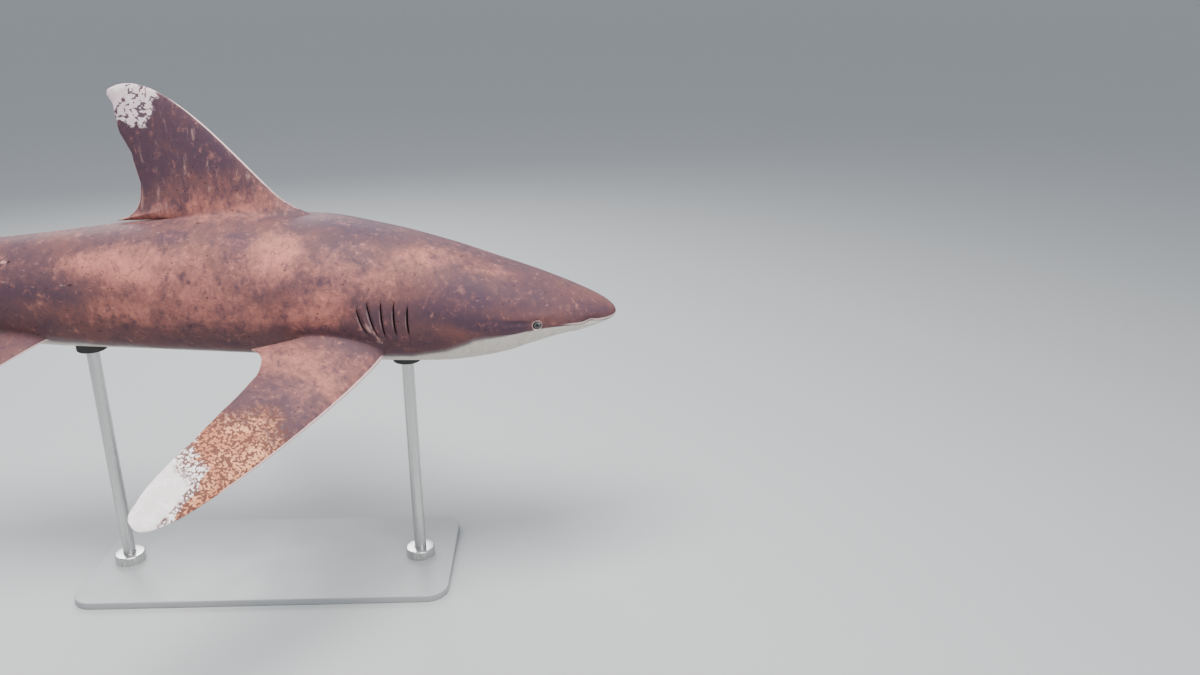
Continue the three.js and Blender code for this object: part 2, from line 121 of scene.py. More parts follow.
# The fins. Each is drawn in its own plane as (a, h): a along its root, h out from its root. `lead` and
# `trail` run from root to tip, and `trail` starts at the free rear tip. `root` is where it leaves the body,
# as two places. `worn` are the nicks in its trailing edge: the level of the span, the reach, and the depth,
# which is below 0 where it stands out. `fillet` draws the foot of the leading edge forward, up to
# FILLET_LEVEL of the span.
REAR_TIP_LEVEL = 0.16
FILLET_LEVEL = 0.12
EDGE = 0.6 * MM
UPRIGHT, HANGING, TAIL = "upright", "hanging", "tail"
PECTORAL_ROOT = {"origin": (20.9, 5.2, -2.8), "along": (6.4, 0.7, 1.2), "droop": 0.35, "gain": 0.0136}
PELVIC_ROOT = {"origin": (49.8, 3, -3.3), "along": (4.6, -0.55, 0.3), "droop": 0.5, "gain": 0.01}
FINS = {
    "first_dorsal": {
        "lead": [(28.9, 7.6), (33.1, 12.4), (39.6, 20.9), (43.7, 18)],
        "insertion": (40.2, 6.9),
        "trail": [(44.3, 6.68), (39.3, 7.8), (43.5, 14.4), (43.7, 18)],
        "thick": 0.78, "tip": 0.1, "stands": UPRIGHT, "levels": 64,
        "root": [(27.3, 90), (40.4, 90)],
        "fillet": 1.1,
        "worn": [
            (0.97, 0.02, -0.14), (0.91, 0.03, 0.16), (0.77, 0.05, -0.2),
            (0.66, 0.025, 0.1), (0.5, 0.03, 0.08),
        ],
    },
    "second_dorsal": {
        "lead": [(63.6, 3.3), (65.6, 4.6), (66.6, 6.9), (68.6, 6.3)],
        "insertion": (68, 2.7),
        "trail": [(71.8, 2.75), (69.2, 3.1), (68.4, 4.6), (68.6, 6.3)],
        "thick": 0.36, "tip": 0.06, "stands": UPRIGHT, "levels": 22,
        "root": [(63.4, 90), (68.1, 90)],
    },
    "anal": {
        "lead": [(62.8, 3.4), (65.2, 4.4), (66.3, 8.1), (68.3, 7.6)],
        "insertion": (67.2, 2.5),
        "trail": [(70.9, 2.7), (68.2, 3.1), (67.5, 5.3), (68.3, 7.6)],
        "thick": 0.38, "tip": 0.06, "stands": HANGING, "levels": 24,
        "root": [(62.6, -90), (67.3, -90)],
    },
    "lower_lobe": {
        "lead": [(73.6, 1.4), (76.6, 3.2), (80.2, 10.9), (82.4, 10.6)],
        "insertion": (80.6, -0.6),
        "trail": [(81.1, -0.5), (79.4, 2.2), (83.4, 7.2), (82.4, 10.6)],
        "thick": 0.62, "tip": 0.07, "stands": TAIL, "levels": 44,
        "root": [(73.5, -90), (80.8, -90)],
    },
    "pectoral": {
        "lead": [(-1.1, -0.4), (1.4, 7.3), (13.2, 23), (14.75, 19.6)],
        "insertion": (6.3, 0),
        "trail": [(10.1, 2.25), (5.5, 3), (17, 18.4), (14.75, 19.6)],
        "thick": 0.72, "tip": 0.1, "stands": PECTORAL_ROOT, "levels": 72,
        "worn": [(0.36, 0.03, 0.1), (0.52, 0.03, -0.06), (0.63, 0.02, 0.09), (0.86, 0.03, 0.07)],
        "root": [(20.2, -37.5), (27.5, -24.5)],
    },
    "pelvic": {
        "lead": [(0, 0), (1.6, 1.5), (4.2, 5.9), (5.6, 5.1)],
        "insertion": (4.7, 0),
        "trail": [(8, 1.3), (6.2, 1.5), (5.4, 3.4), (5.6, 5.1)],
        "thick": 0.36, "tip": 0.07, "stands": PELVIC_ROOT, "levels": 26,
        "root": [(49.8, -43.8), (54.4, -41.6)],
    },
}
FIN_COLUMNS = 6  # columns of the skin that a fin's root takes
FLARE = {"wide": 7 * MM, "reach": 0.035}  # the skin's swelling round the root of a fin


# ---- The shape of the shark ----
def smooth_through(xs, ys):
    """A smooth curve through the points that never overshoots them (monotone cubic)."""
    steps = np.diff(xs)
    rises = np.diff(ys) / steps
    slopes = np.zeros(len(xs))
    slopes[0], slopes[-1] = rises[0], rises[-1]
    for i in range(1, len(xs) - 1):
        if rises[i - 1] * rises[i] > 0:
            before, after = steps[i - 1], steps[i]
            weighted = (2 * after + before) / rises[i - 1] + (after + 2 * before) / rises[i]
            slopes[i] = 3 * (before + after) / weighted

    def curve(x):
        i = np.clip(np.searchsorted(xs, x) - 1, 0, len(xs) - 2)
        step = steps[i]
        t = (x - xs[i]) / step
        blend = t * t * (3 - 2 * t)
        leave, arrive = t * (1 - t) ** 2 * step, t * t * (t - 1) * step
        return ys[i] + (ys[i + 1] - ys[i]) * blend + slopes[i] * leave + slopes[i + 1] * arrive

    return curve


def section_curve(column):
    table = np.array(SECTIONS, float)
    curve = smooth_through(np.sqrt(table[:, 0]), table[:, column])
    return lambda s: curve(np.sqrt(np.clip(s, 0, 100)))


half_width, top, depth, waist = (section_curve(column) for column in (1, 2, 3, 4))


def smoothstep(x, start, end):
    t = np.clip((x - start) / (end - start), 0, 1)
    return t * t * (3 - 2 * t)


def bump(x, middle, reach):
    return np.exp(-(((x - middle) / reach) ** 2))


def belly_roundness(s):
    snout = SNOUT_SQUARENESS["extra"] * np.exp(-((s / SNOUT_SQUARENESS["reach"]) ** 2))
    web = smoothstep(s, WEB["from"], WEB["to"])
    return (BELLY_ROUNDNESS + snout) * (1 - web) + WEB["roundness"] * web


def belly_depth(s):
    return depth(s) - TAIL_NOTCH["depth"] * bump(s, TAIL_NOTCH["s"], TAIL_NOTCH["reach"])


def above_or_below(s, above):
    """How far the section reaches up or down from its widest place, and the power that rounds it there."""
    reach = np.where(above, top(s) - waist(s), belly_depth(s) + waist(s))
    return reach, 2 / np.where(above, BACK_ROUNDNESS, belly_roundness(s))


def on_section(s, turn):
    """The point of the body's surface at the angle `turn`, from its left side towards its back."""
    c, d = np.cos(turn), np.sin(turn)
    reach, power = above_or_below(s, d >= 0)
    web = smoothstep(s, WEB["from"], WEB["to"])
    y = half_width(s) * np.abs(c) ** power + WEB["edge"] * web * np.sqrt(np.abs(c))
    return np.stack([s + 0 * y, y * np.sign(c), waist(s) + reach * np.sign(d) * np.abs(d) ** power], -1)


def turn_at_height(s, z):
    """The turn, on the left side, of the surface's point at that height."""
    above = z >= waist(s)
    reach, power = above_or_below(s, above)
    sine = np.clip(np.abs(z - waist(s)) / reach, 0, 1) ** (1 / power)
    return np.where(above, 1, -1) * np.arcsin(sine)


def turn_under(s, y):
    """The turn of the underside's point that lies y to the left of the middle."""
    cosine = np.clip(np.abs(y) / half_width(s), 0, 1) ** (belly_roundness(s) / 2)
    left = -np.arccos(cosine)
    return np.where(y >= 0, left, -math.pi - left)


# The way round each section, measured along the skin: tables between `turn` and `share` for half a section.
TABLE_S = np.linspace(0, 10, 501) ** 2
TABLE_TURN = np.linspace(-math.pi / 2, math.pi / 2, 721)
TABLE_SHARE = np.linspace(0, 0.5, 361)


def girth_tables():
    half = on_section(np.maximum(TABLE_S, 1e-3)[:, None], TABLE_TURN[None, :])
    pieces = np.linalg.norm(np.diff(half, axis=1), axis=-1)
    run = np.concatenate([np.zeros((len(TABLE_S), 1)), np.cumsum(pieces, axis=1)], axis=1)
    run += 1e-5 * np.linspace(0, 1, len(TABLE_TURN))[None, :]
    shares = 0.5 * run / run[:, -1:]
    turns = np.array([np.interp(TABLE_SHARE, row, TABLE_TURN) for row in shares])
    return 2 * run[:, -1], shares, turns


GIRTH, SHARES, TURNS = girth_tables()


def look_up(table, s, x, first, last):
    """A table over TABLE_S and an even range from first to last, read between its entries."""
    row = np.sqrt(np.clip(s, 0, 100)) / 10 * (len(TABLE_S) - 1)
    column = (x - first) / (last - first) * (table.shape[1] - 1)
    i = np.clip(row.astype(int), 0, len(TABLE_S) - 2)
    j = np.clip(column.astype(int), 0, table.shape[1] - 2)
    u, v = row - i, column - j
    low = table[i, j] * (1 - v) + table[i, j + 1] * v
    high = table[i + 1, j] * (1 - v) + table[i + 1, j + 1] * v
    return low * (1 - u) + high * u


def girth(s):
    return np.interp(s, TABLE_S, GIRTH)


def turn_of(s, share):
    share = share % 1
    right = share > 0.5
    turn = look_up(TURNS, s, np.where(right, 1 - share, share), 0, 0.5)
    return np.where(right, math.pi - turn, turn)


def share_of(s, turn):
    """The share at a turn between -270 and 90 degrees. It is negative on the right side of the belly."""
    s, turn = np.broadcast_arrays(np.asarray(s, float), np.asarray(turn, float))
    right = turn < -math.pi / 2
    mirrored = np.where(right, -math.pi - turn, turn)
    share = look_up(SHARES, s, mirrored, -math.pi / 2, math.pi / 2)
    return np.where(right, -share, share)


def body_point(s, share):
    return on_section(s, turn_of(s, share))


def climbed(s, z):
    """The tail's climb in the side plane, as s and z along a level line."""
    turn = np.clip((s - CLIMB["from"]) / CLIMB["radius"], 0, CLIMB["angle"])
    beyond = np.maximum(s - CLIMB["from"] - CLIMB["radius"] * CLIMB["angle"], 0)
    c, d = np.cos(turn), np.sin(turn)
    back = np.minimum(s, CLIMB["from"]) + CLIMB["radius"] * d + beyond * c - z * d
    return back, CLIMB["radius"] * (1 - c) + beyond * d + z * c


def level(s, y, z):
    """A point whose s and z lie along a level line, in the world."""
    turn = np.maximum(s - SWING["from"], 0) / SWING["radius"]
    x = -np.minimum(s, SWING["from"]) - SWING["radius"] * np.sin(turn) + y * np.sin(turn)
    side = SWING["radius"] * (1 - np.cos(turn)) + y * np.cos(turn)
    c, d = math.cos(NOSE_DOWN), math.sin(NOSE_DOWN)
    at = np.stack([x * c + z * d + BALANCE, side, z * c - x * d], -1) * PERCENT
    return at + np.array([0, 0, SNOUT_HEIGHT])


def to_world(points):
    back, up = climbed(points[..., 0], points[..., 2])
    return level(back, points[..., 1], up)


# ---- Fins ----
def bezier(points, t):
    p = np.array(points, float)
    t = t[..., None]
    return (1 - t) ** 3 * p[0] + 3 * t * (1 - t) ** 2 * p[1] + 3 * t * t * (1 - t) * p[2] + t**3 * p[3]


def fin_plan(fin, k, t):
    """The place in the fin's plane at the share k of its chord and the level t of its span."""
    front = bezier(fin["lead"], t)
    front[..., 0] -= fin.get("fillet", 0) * np.clip(1 - t / FILLET_LEVEL, 0, 1) ** 2
    insertion, free_tip = np.array(fin["insertion"], float), np.array(fin["trail"][0], float)
    inner = insertion + (free_tip - insertion) * (t / REAR_TIP_LEVEL)[..., None]
    past = (t - REAR_TIP_LEVEL) / (1 - REAR_TIP_LEVEL)
    rear = np.where((past < 0)[..., None], inner, bezier(fin["trail"], np.maximum(past, 0)))
    for at, reach, depth in fin.get("worn", ()):
        rear[..., 0] -= depth * bump(t, at, reach)
    return front + (rear - front) * k[..., None]


def fin_half_thickness(fin, k, t):
    section = np.sqrt(k) * (1 - k) ** 0.8 / 0.5
    return (fin["tip"] + fin["thick"] * (1 - t) ** 1.25) * section + EDGE * (4 * k * (1 - k)) ** 0.25


def paired_place(root, a, h, off, side):
    """A point of a paired fin, whose span droops more and more outwards."""
    along = np.array(root["along"], float)
    along /= np.linalg.norm(along)
    middle, slope = root["droop"] + root["gain"] * h / 2, root["droop"] + root["gain"] * h
    spanned = np.stack([0 * h, np.cos(middle) * h, -np.sin(middle) * h], -1)
    across = np.stack([0 * h, np.cos(slope), -np.sin(slope)], -1)
    normal = np.cross(across, along)
    normal /= np.linalg.norm(normal, axis=-1, keepdims=True)
    at = np.array(root["origin"]) + a[..., None] * along + spanned + normal * off[..., None]
    return to_world(at * np.array([1, side, 1]))


def fin_point(fin, side, k, t, off):
    a, h = np.moveaxis(fin_plan(fin, k, t), -1, 0)
    if fin["stands"] == UPRIGHT:
        return to_world(np.stack([a, off, h], -1))
    if fin["stands"] == HANGING:
        return to_world(np.stack([a, off, -h], -1))
    if fin["stands"] == TAIL:
        return level(a, off, -h)
    return paired_place(fin["stands"], a, h, off, side)


# ---- The net of the skin ----
ROW_STEPS = {"head": 0.152, "trunk": 0.3}
HEAD_ROWS_END, TRUNK_ROWS_END = 23.6, 92.8


def skin_rows():
    """The natural s of each row: close at the snout and the gills, wider on the trunk."""
    snout = np.linspace(0, 1, 13)[:-1] ** 2
    head = np.arange(1, HEAD_ROWS_END, ROW_STEPS["head"])
    trunk = np.arange(head[-1] + ROW_STEPS["trunk"], TRUNK_ROWS_END, ROW_STEPS["trunk"])
    end = 100 - (100 - trunk[-1]) * (1 - np.linspace(0, 1, 45)[1:]) ** 1.6
    return np.concatenate([snout, head, trunk, end])


ROWS = skin_rows()
COLUMNS = 144
SEAM = 0.375  # the share where the net is sewn up, on the left of the back
SOCKET, POCKET, FIRST_FIN = 1, 2, 3  # what a patch of the net grows into; the body itself is 0
SOCKET_RINGS, POCKET_RINGS = 14, 6
HEAD_PATCH_ROWS = 4  # rows that an eye or a nostril takes, each way from its middle
RELAXING = {"rounds": 900, "push": 1.9}


def nearest_row(s):
    return int(np.argmin(np.abs(ROWS - s)))


def nearest_column(share):
    return int(round(((share - SEAM) % 1) * COLUMNS)) % COLUMNS


def share_of_column(column):
    return (column / COLUMNS + SEAM) % 1


class Patch:
    """A block of the net's faces that is drawn out, ring by ring, into a fin, an eye socket or a nostril."""

    def __init__(self, name, kind, side, rows, middle, columns, rings):
        self.name, self.kind, self.side, self.rings = name, kind, side, rings
        self.first_row, self.last_row = rows
        self.first_column, self.columns = middle - columns // 2, columns

    def own(self, row, column):
        """u and v of a corner: from -1 to 1 along the rows and along the columns."""
        across = (column - self.first_column) % COLUMNS
        u = 2 * (row - self.first_row) / (self.last_row - self.first_row) - 1
        return u, 2 * across / self.columns - 1

    def corners(self):
        rows = np.arange(self.first_row, self.last_row + 1)
        columns = np.arange(self.first_column, self.first_column + self.columns + 1) % COLUMNS
        row, column = np.meshgrid(rows, columns, indexing="ij")
        return row.ravel(), column.ravel()

    def mine(self, at):
        """Which of the mesh's corners this patch has drawn out."""
        return (at["ring"] > 0) & (at["kind"] == self.kind) & (at["side"] == self.side)


def fin_patches():
    """One patch for each fin, in the order of FINS, and the root's two ends as (s, share)."""
    patches = []
    for number, (name, fin) in enumerate(FINS.items()):
        (s0, turn0), (s1, turn1) = fin["root"]
        share0 = float(share_of(s0, math.radians(turn0)))
        share1 = float(share_of(s1, math.radians(turn1)))
        sides = (1, -1) if isinstance(fin["stands"], dict) else (1,)
        for side in sides:
            middle = nearest_column(side * (share0 + share1) / 2)
            rows = (nearest_row(s0), nearest_row(s1))
            patch = Patch(name, FIRST_FIN + number, side, rows, middle, FIN_COLUMNS, fin["levels"])
            patch.root = [(s0, side * share0), (s1, side * share1)]
            patches.append(patch)
    return patches


def head_patches():
    eye_turn = turn_at_height(EYE["s"], EYE["z"])
    nostril_turn = turn_under(NOSTRIL["s"], NOSTRIL["y"])
    patches = []
    for side in (1, -1):
        for name, kind, s, turn, columns, rings in (
            ("eye", SOCKET, EYE["s"], eye_turn, 8, SOCKET_RINGS),
            ("nostril", POCKET, NOSTRIL["s"], nostril_turn, 6, POCKET_RINGS),
        ):
            row, middle = nearest_row(s), nearest_column(side * float(share_of(s, turn)))
            rows = (row - HEAD_PATCH_ROWS, row + HEAD_PATCH_ROWS)
            patches.append(Patch(name, kind, side, rows, middle, columns, rings))
    return patches


PATCHES = fin_patches() + head_patches()


def ring_share(patch, u, v):
    """How far along its chord a fin's corner lies, from the leading edge (0) to the trailing one (1)."""
    rows = patch.last_row - patch.first_row
    half = patch.columns / 2
    around = (half + (u + 1) / 2 * rows) / (rows + 2 * half)
    front = np.abs(v) * half / (rows + 2 * half)
    around = np.where(u < -1 + 1e-6, front, np.where(u > 1 - 1e-6, 1 - front, around))
    return (1 - np.cos(math.pi * around)) / 2


def off_sign(patch):
    """+1 where a fin's offset grows with the share round the body, and -1 where it falls."""
    fin = FINS[patch.name]
    if fin["stands"] in (HANGING, TAIL):
        return 1
    return -1 if fin["stands"] == UPRIGHT else -patch.side


def fin_offset(fin, k, t):
    flare = FLARE["wide"] * np.exp(-t / FLARE["reach"]) * (4 * k * (1 - k)) ** 0.35
    return fin_half_thickness(fin, k, t) + flare


def round_patch(u, v):
    """Square to circle: radius 0 to 1, and the angle."""
    radius = np.maximum(np.abs(u), np.abs(v))
    safe = np.maximum(radius, 1e-9)
    flat = np.abs(u) >= np.abs(v)
    slant = np.where(flat, v / safe, u / safe) * math.pi / 4
    endwise = np.where(u >= 0, slant, math.pi - slant)
    sideways = np.where(v >= 0, math.pi / 2 - slant, slant - math.pi / 2)
    angle = np.where(flat, endwise, sideways)
    return radius, angle


def root_place(patch, u, v):
    """Where a corner of a fin's root lies on the body."""
    fin = FINS[patch.name]
    k = ring_share(patch, u, v)
    (s0, share0), (s1, share1) = patch.root
    s = s0 + (s1 - s0) * k
    off = fin_offset(fin, k, np.zeros_like(k)) * np.sign(v)
    return s, share0 + (share1 - share0) * k + off / girth(s)


def eye_place(patch, u, v):
    radius, angle = round_patch(u, v)
    s = EYE["s"] + EYE["lid"] * radius * np.cos(angle)
    z = EYE["z"] + EYE["lid"] * radius * np.sin(angle) * patch.side
    return s, patch.side * share_of(s, turn_at_height(s, z))


def nostril_place(patch, u, v, scale=1.0):
    radius, angle = round_patch(u, v)
    a = NOSTRIL["long"] * radius * np.cos(angle) * scale
    b = NOSTRIL["wide"] * radius * np.sin(angle) * scale * patch.side
    c, d = math.cos(NOSTRIL["turned"]), math.sin(NOSTRIL["turned"])
    s = NOSTRIL["s"] + a * c - b * d
    y = np.minimum(NOSTRIL["y"] + a * d + b * c, half_width(s) * 0.985)
    return s, patch.side * share_of(s, turn_under(s, y))


class Pins:
    """Corners of the net that are held at a place on the body."""

    def __init__(self):
        size = (len(ROWS), COLUMNS)
        self.held = np.zeros(size, bool)
        self.s, self.share = np.zeros(size), np.zeros(size)
        self.sink = np.zeros(size)  # mm below the skin

    def hold(self, row, column, s, share, sink=0.0):
        self.held[row, column] = True
        self.s[row, column], self.share[row, column] = s, share
        self.sink[row, column] = sink


def pin_patches(pins):
    places = {SOCKET: eye_place, POCKET: nostril_place}
    for patch in PATCHES:
        row, column = patch.corners()
        u, v = patch.own(row, column)
        s, share = places.get(patch.kind, root_place)(patch, u, v)
        rim = np.maximum(np.abs(u), np.abs(v)) > 1 - 1e-6
        pins.hold(row[rim], column[rim], s[rim], share[rim])


def eased_offsets(profile, gap):
    """A groove's profile where it opens, running out to the net's own spacing beyond its ends."""
    first = -(len(profile) - 1) // 2
    for step, (behind, sink) in enumerate(profile, start=first):
        shut = 0.3 * behind * MM
        yield step, shut, behind * MM, step * gap, sink


def pin_slits(pins):
    """Each slit takes a few rows of the net, and runs out above and below."""
    beyond = SLIT["beyond"]
    for top_s, top_z, bottom_s, bottom_z in SLITS:
        row = nearest_row((top_s + bottom_s) / 2)
        top_share = float(share_of(top_s, turn_at_height(top_s, top_z)))
        bottom_share = float(share_of(bottom_s, turn_at_height(bottom_s, bottom_z)))
        reach = (top_share - bottom_share) * beyond
        for side in (1, -1):
            far = (top_share + reach, bottom_share - reach)
            ends = [((side * end - SEAM) % 1) * COLUMNS for end in far]
            columns = np.arange(math.ceil(min(ends)), math.floor(max(ends)) + 1)
            height = side * share_of_column(columns) % 1
            down = (height - top_share) / (bottom_share - top_share)
            inside = np.clip(4 * down * (1 - down), 0, 1)
            past = np.clip(np.maximum(-down, down - 1) / beyond, 0, 1)
            middle = top_s + (bottom_s - top_s) * down + SLIT["bow"] * inside
            for step, shut, opened, natural, sink in eased_offsets(SLIT_PROFILE, SLIT["rows"]):
                offset = shut + (opened * (0.85 + 0.35 * down) - shut) * inside**0.6
                offset = offset + (natural - offset) * past
                pins.hold(row + step, columns, middle + offset, share_of_column(columns), sink * inside**0.7)


MOUTH_CORNER = float(share_of(MOUTH["corner"], turn_under(MOUTH["corner"], MOUTH["half_width"])))


def mouth_line(share):
    """s of the mouth's line at a share of the way round, and how far along it that is (1 at its corner)."""
    along = np.abs((share + 0.5) % 1 - 0.5) / MOUTH_CORNER
    return MOUTH["front"] + (MOUTH["corner"] - MOUTH["front"]) * np.minimum(along, 1) ** 2.4, along


def pin_mouth(pins):
    row = nearest_row(MOUTH["warp"][0])
    columns = np.array([c for c in range(COLUMNS) if mouth_line(share_of_column(c))[1] < 1 + MOUTH["beyond"]])
    share = share_of_column(columns)
    line, along = mouth_line(share)
    inside = np.clip(1 - along**4, 0, 1)
    past = np.clip((along - 1) / MOUTH["beyond"], 0, 1)
    slant = 1 + (math.hypot(1, 2) - 1) * np.minimum(along, 1)  # the line crosses the rows aslant at its ends
    for step, shut, opened, natural, sink in eased_offsets(MOUTH_PROFILE, MOUTH["rows"]):
        offset = shut + (opened - shut) * inside**0.5
        offset = slant * (offset + (natural / 2 - offset) * past)
        pins.hold(row + step, columns, line + offset, share, sink * inside**0.5)


def natural_net():
    """s and share of every corner before the pins pull on them, with the rows bent along the mouth's arch."""
    s = np.repeat(ROWS[:, None], COLUMNS, axis=1)
    share = np.repeat(share_of_column(np.arange(COLUMNS))[None, :], len(ROWS), axis=0)
    middle, end = MOUTH["warp"]
    line, along = mouth_line(share)
    fade = 1 - smoothstep(along, 1, 0.245 / MOUTH_CORNER)
    bend = smoothstep(s, 0, middle) * (1 - smoothstep(s, middle, end))
    return s + bend * (line - middle) * fade, share


def relax(pins):
    """Spreads the pins' shifts smoothly over the net, and returns s and share of every corner."""
    natural_s, natural_share = natural_net()
    turned = (pins.share - natural_share + 0.5) % 1 - 0.5
    shifts = np.stack([np.where(pins.held, pins.s - natural_s, 0), np.where(pins.held, turned, 0)])
    held = pins.held.copy()
    held[0] = held[-1] = True
    row, column = np.indices(held.shape)
    for step in range(RELAXING["rounds"]):
        free = ~held & ((row + column) % 2 == step % 2)
        around = np.zeros_like(shifts)
        around[:, 1:-1] = shifts[:, :-2] + shifts[:, 2:]
        around += np.roll(shifts, 1, axis=2) + np.roll(shifts, -1, axis=2)
        shifts = np.where(free[None], shifts + RELAXING["push"] * (around / 4 - shifts), shifts)
    # The rows close to the tip of the snout stay in their order.
    return np.maximum(natural_s + shifts[0], 0.5 * natural_s), natural_share + shifts[1]


def skin_places():
    pins = Pins()
    pin_mouth(pins)
    pin_slits(pins)
    pin_patches(pins)
    s, share = relax(pins)
    return s, share, pins.sink


def body_relief(s, share):
    """How far the skin stands out from the section, in mm."""
    turn = turn_of(s, share)
    point = on_section(s, turn)
    z = point[..., 2]
    side_on = smoothstep(np.abs(np.cos(turn)), 0.3, 0.8)
    brow = 2.2 * bump(s, 6.9, 1.1) * bump(z, 0.75, 0.35) * side_on
    behind_eye = -1.8 * smoothstep(s, 7.7, 8.2) * (1 - smoothstep(s, 9.2, 10.6)) * bump(z, 0.16, 0.1)
    nostril_dent = -4.5 * bump(s, 2.2, 0.75) * bump(z, -0.1, 0.4) * side_on
    ridge = 1.6 * smoothstep(s, 41.5, 46) * (1 - smoothstep(s, 61, 63.4)) * bump(turn, math.pi / 2, 0.07)
    pit = -3.5 * bump(s, 72.9, 0.45) * bump(turn, math.pi / 2, 0.5)
    return brow + behind_eye * side_on + nostril_dent + ridge + pit


def skin_normals(s, share):
    """Outward normals of the body in the world."""
    behind, ahead = np.clip(s + 0.03, 0, 100), np.clip(s - 0.03, 0, 100)
    along = to_world(body_point(behind, share)) - to_world(body_point(ahead, share))
    around = to_world(body_point(s, share + 0.002)) - to_world(body_point(s, share - 0.002))
    normal = np.cross(along, around)
    normal /= np.maximum(np.linalg.norm(normal, axis=-1, keepdims=True), 1e-12)
    normal[0], normal[-1] = (1, 0, 0), (-1, 0, 0)
    return normal


# ---- Making the mesh ----
def sewn_net():
    """The body's net as a tube with closed ends. Its corners carry their row and column."""
    bm = bmesh.new()
    rows = len(ROWS) - 1
    bmesh.ops.create_grid(bm, x_segments=rows, y_segments=COLUMNS, size=1)
    layers = {name: bm.verts.layers.int.new(name) for name in ("row", "column", "kind", "side", "ring")}
    for vert in bm.verts:
        row = round((vert.co.x + 1) / 2 * rows)
        column = round((vert.co.y + 1) / 2 * COLUMNS)
        vert[layers["row"]], vert[layers["column"]] = row, column % COLUMNS
        angle = 2 * math.pi * column / COLUMNS
        radius = 0 if row in (0, rows) else 1
        vert.co = (0.1 * row, radius * math.cos(angle), radius * math.sin(angle))
    bmesh.ops.remove_doubles(bm, verts=bm.verts[:], dist=1e-4)
    bmesh.ops.recalc_face_normals(bm, faces=bm.faces[:])
    return bm, layers


def draw_out_patches(bm, layers):
    """Extrudes each patch of the net ring by ring, and marks the new corners."""
    found = {}
    for face in bm.faces:
        rows = [vert[layers["row"]] for vert in face.verts]
        columns = {vert[layers["column"]] for vert in face.verts}
        if len(columns) == 2:
            low = min(columns) if max(columns) - min(columns) == 1 else max(columns)
            found[min(rows), low] = face
    for patch in PATCHES:
        faces = [
            found[row, (patch.first_column + step) % COLUMNS]
            for row in range(patch.first_row, patch.last_row)
            for step in range(patch.columns)
        ]
        for ring in range(1, patch.rings + 1):
            made = bmesh.ops.extrude_face_region(bm, geom=faces)["geom"]
            leftover = [face for face in faces if face.is_valid]
            if leftover:
                bmesh.ops.delete(bm, geom=leftover, context="FACES_ONLY")
            faces = [piece for piece in made if isinstance(piece, bmesh.types.BMFace)]
            for vert in (piece for piece in made if isinstance(piece, bmesh.types.BMVert)):
                for name, value in (("kind", patch.kind), ("side", patch.side), ("ring", ring)):
                    vert[layers[name]] = value
    loose = [vert for vert in bm.verts if not vert.link_faces]
    bmesh.ops.delete(bm, geom=loose, context="VERTS")


def fin_level(patch, ring):
    """The level of a fin's ring: close at the root and at the tip."""
    x = ring / patch.rings
    return 0.996 * (0.3 * x + 0.7 * x * x * (3 - 2 * x))


def fin_corners(patch, row, column, ring, start):
    """World places of a fin's corners. `start` holds the places of its root on the skin."""
    fin = FINS[patch.name]
    u, v = patch.own(row, column)
    k = ring_share(patch, u, v)
    t = fin_level(patch, ring)
    sign = off_sign(patch) * np.where(np.abs(np.abs(u) - 1) < 1e-6, np.sign(v), v)
    at = fin_point(fin, patch.side, k, t, fin_offset(fin, k, t) * sign)
    foot = fin_point(fin, patch.side, k, 0 * t, fin_offset(fin, k, 0 * t) * sign)
    return at + (start - foot) * ((1 - t) ** 6)[..., None], k, t


# An eye's lid and socket, ring by ring: radius and height above the skin, in mm.
SOCKET_PROFILE = [
    (12.5, 0), (11.7, 0.5), (11, 1.1), (10.2, 1.5), (9.4, 1.4), (8.8, 0.9), (8.5, 0.1), (9, -1.6),
    (11.2, -4.6), (12.9, -8), (13.4, -11), (12.4, -15), (9, -20), (4.5, -23), (3.6, -24),
]
# A nostril, ring by ring: its share of the full size, and mm below the skin.
NOSTRIL_PROFILE = [(1, 0), (0.93, -0.8), (0.8, 0.6), (0.72, 3.5), (0.66, 6.5), (0.5, 8), (0.3, 8.5)]


def eye_corners(patch, row, column, ring):
    radius, angle = round_patch(*patch.own(row, column))
    wide, high = np.array(SOCKET_PROFILE, float)[ring].T * MM
    s = EYE["s"] + wide * radius * np.cos(angle)
    z = EYE["z"] + wide * radius * np.sin(angle) * patch.side
    skin_side = on_section(s, turn_at_height(s, z))[..., 1]
    y = np.where(high < -1 * MM, half_width(EYE["s"]), skin_side) + high
    return to_world(np.stack([s, patch.side * y, z], -1))


def nostril_corners(patch, row, column, ring, normals):
    size, drop = np.array(NOSTRIL_PROFILE, float)[ring].T
    s, share = nostril_place(patch, *patch.own(row, column), size)
    return to_world(body_point(s, share)) - normals * (drop * 0.001)[..., None]


# ---- Markings, as a number at each corner of the skin ----
MARKS = (
    "under", "eye_line", "cheek_line", "lip", "lip_shade", "cheek", "white", "tan", "scrawl", "rim", "flap_highlight",
    "groove", "dusk_and_shade", "blush_and_sun_patch", "streaks", "scar",
)
# Lines as s and degrees above the middle of the side: where the bronze of the back gives way to the pale
# belly, along the snout's lower edge and on through the eye, and below the eye.
BELLY_LINE = [
    (0, 4), (3, -1), (7, -4), (10, -9), (12.5, -12), (15, -26), (18, -37), (22, -41), (28, -44), (40, -43),
    (47, -36), (53, -28), (62, -22), (73, -24), (80, -38), (100, -50),
]
EYE_LINE = [(0, -2), (1.6, -2), (2.3, 1), (3.2, -2.5), (6.2, -0.5), (8.2, 4), (11, 4.8), (13, 5)]
CHEEK_LINE = [(8, -4.5), (9.1, -8.5), (13, -9.5)]
LINE_REACH = 30  # mm from a fine line of the head at which its mark is full
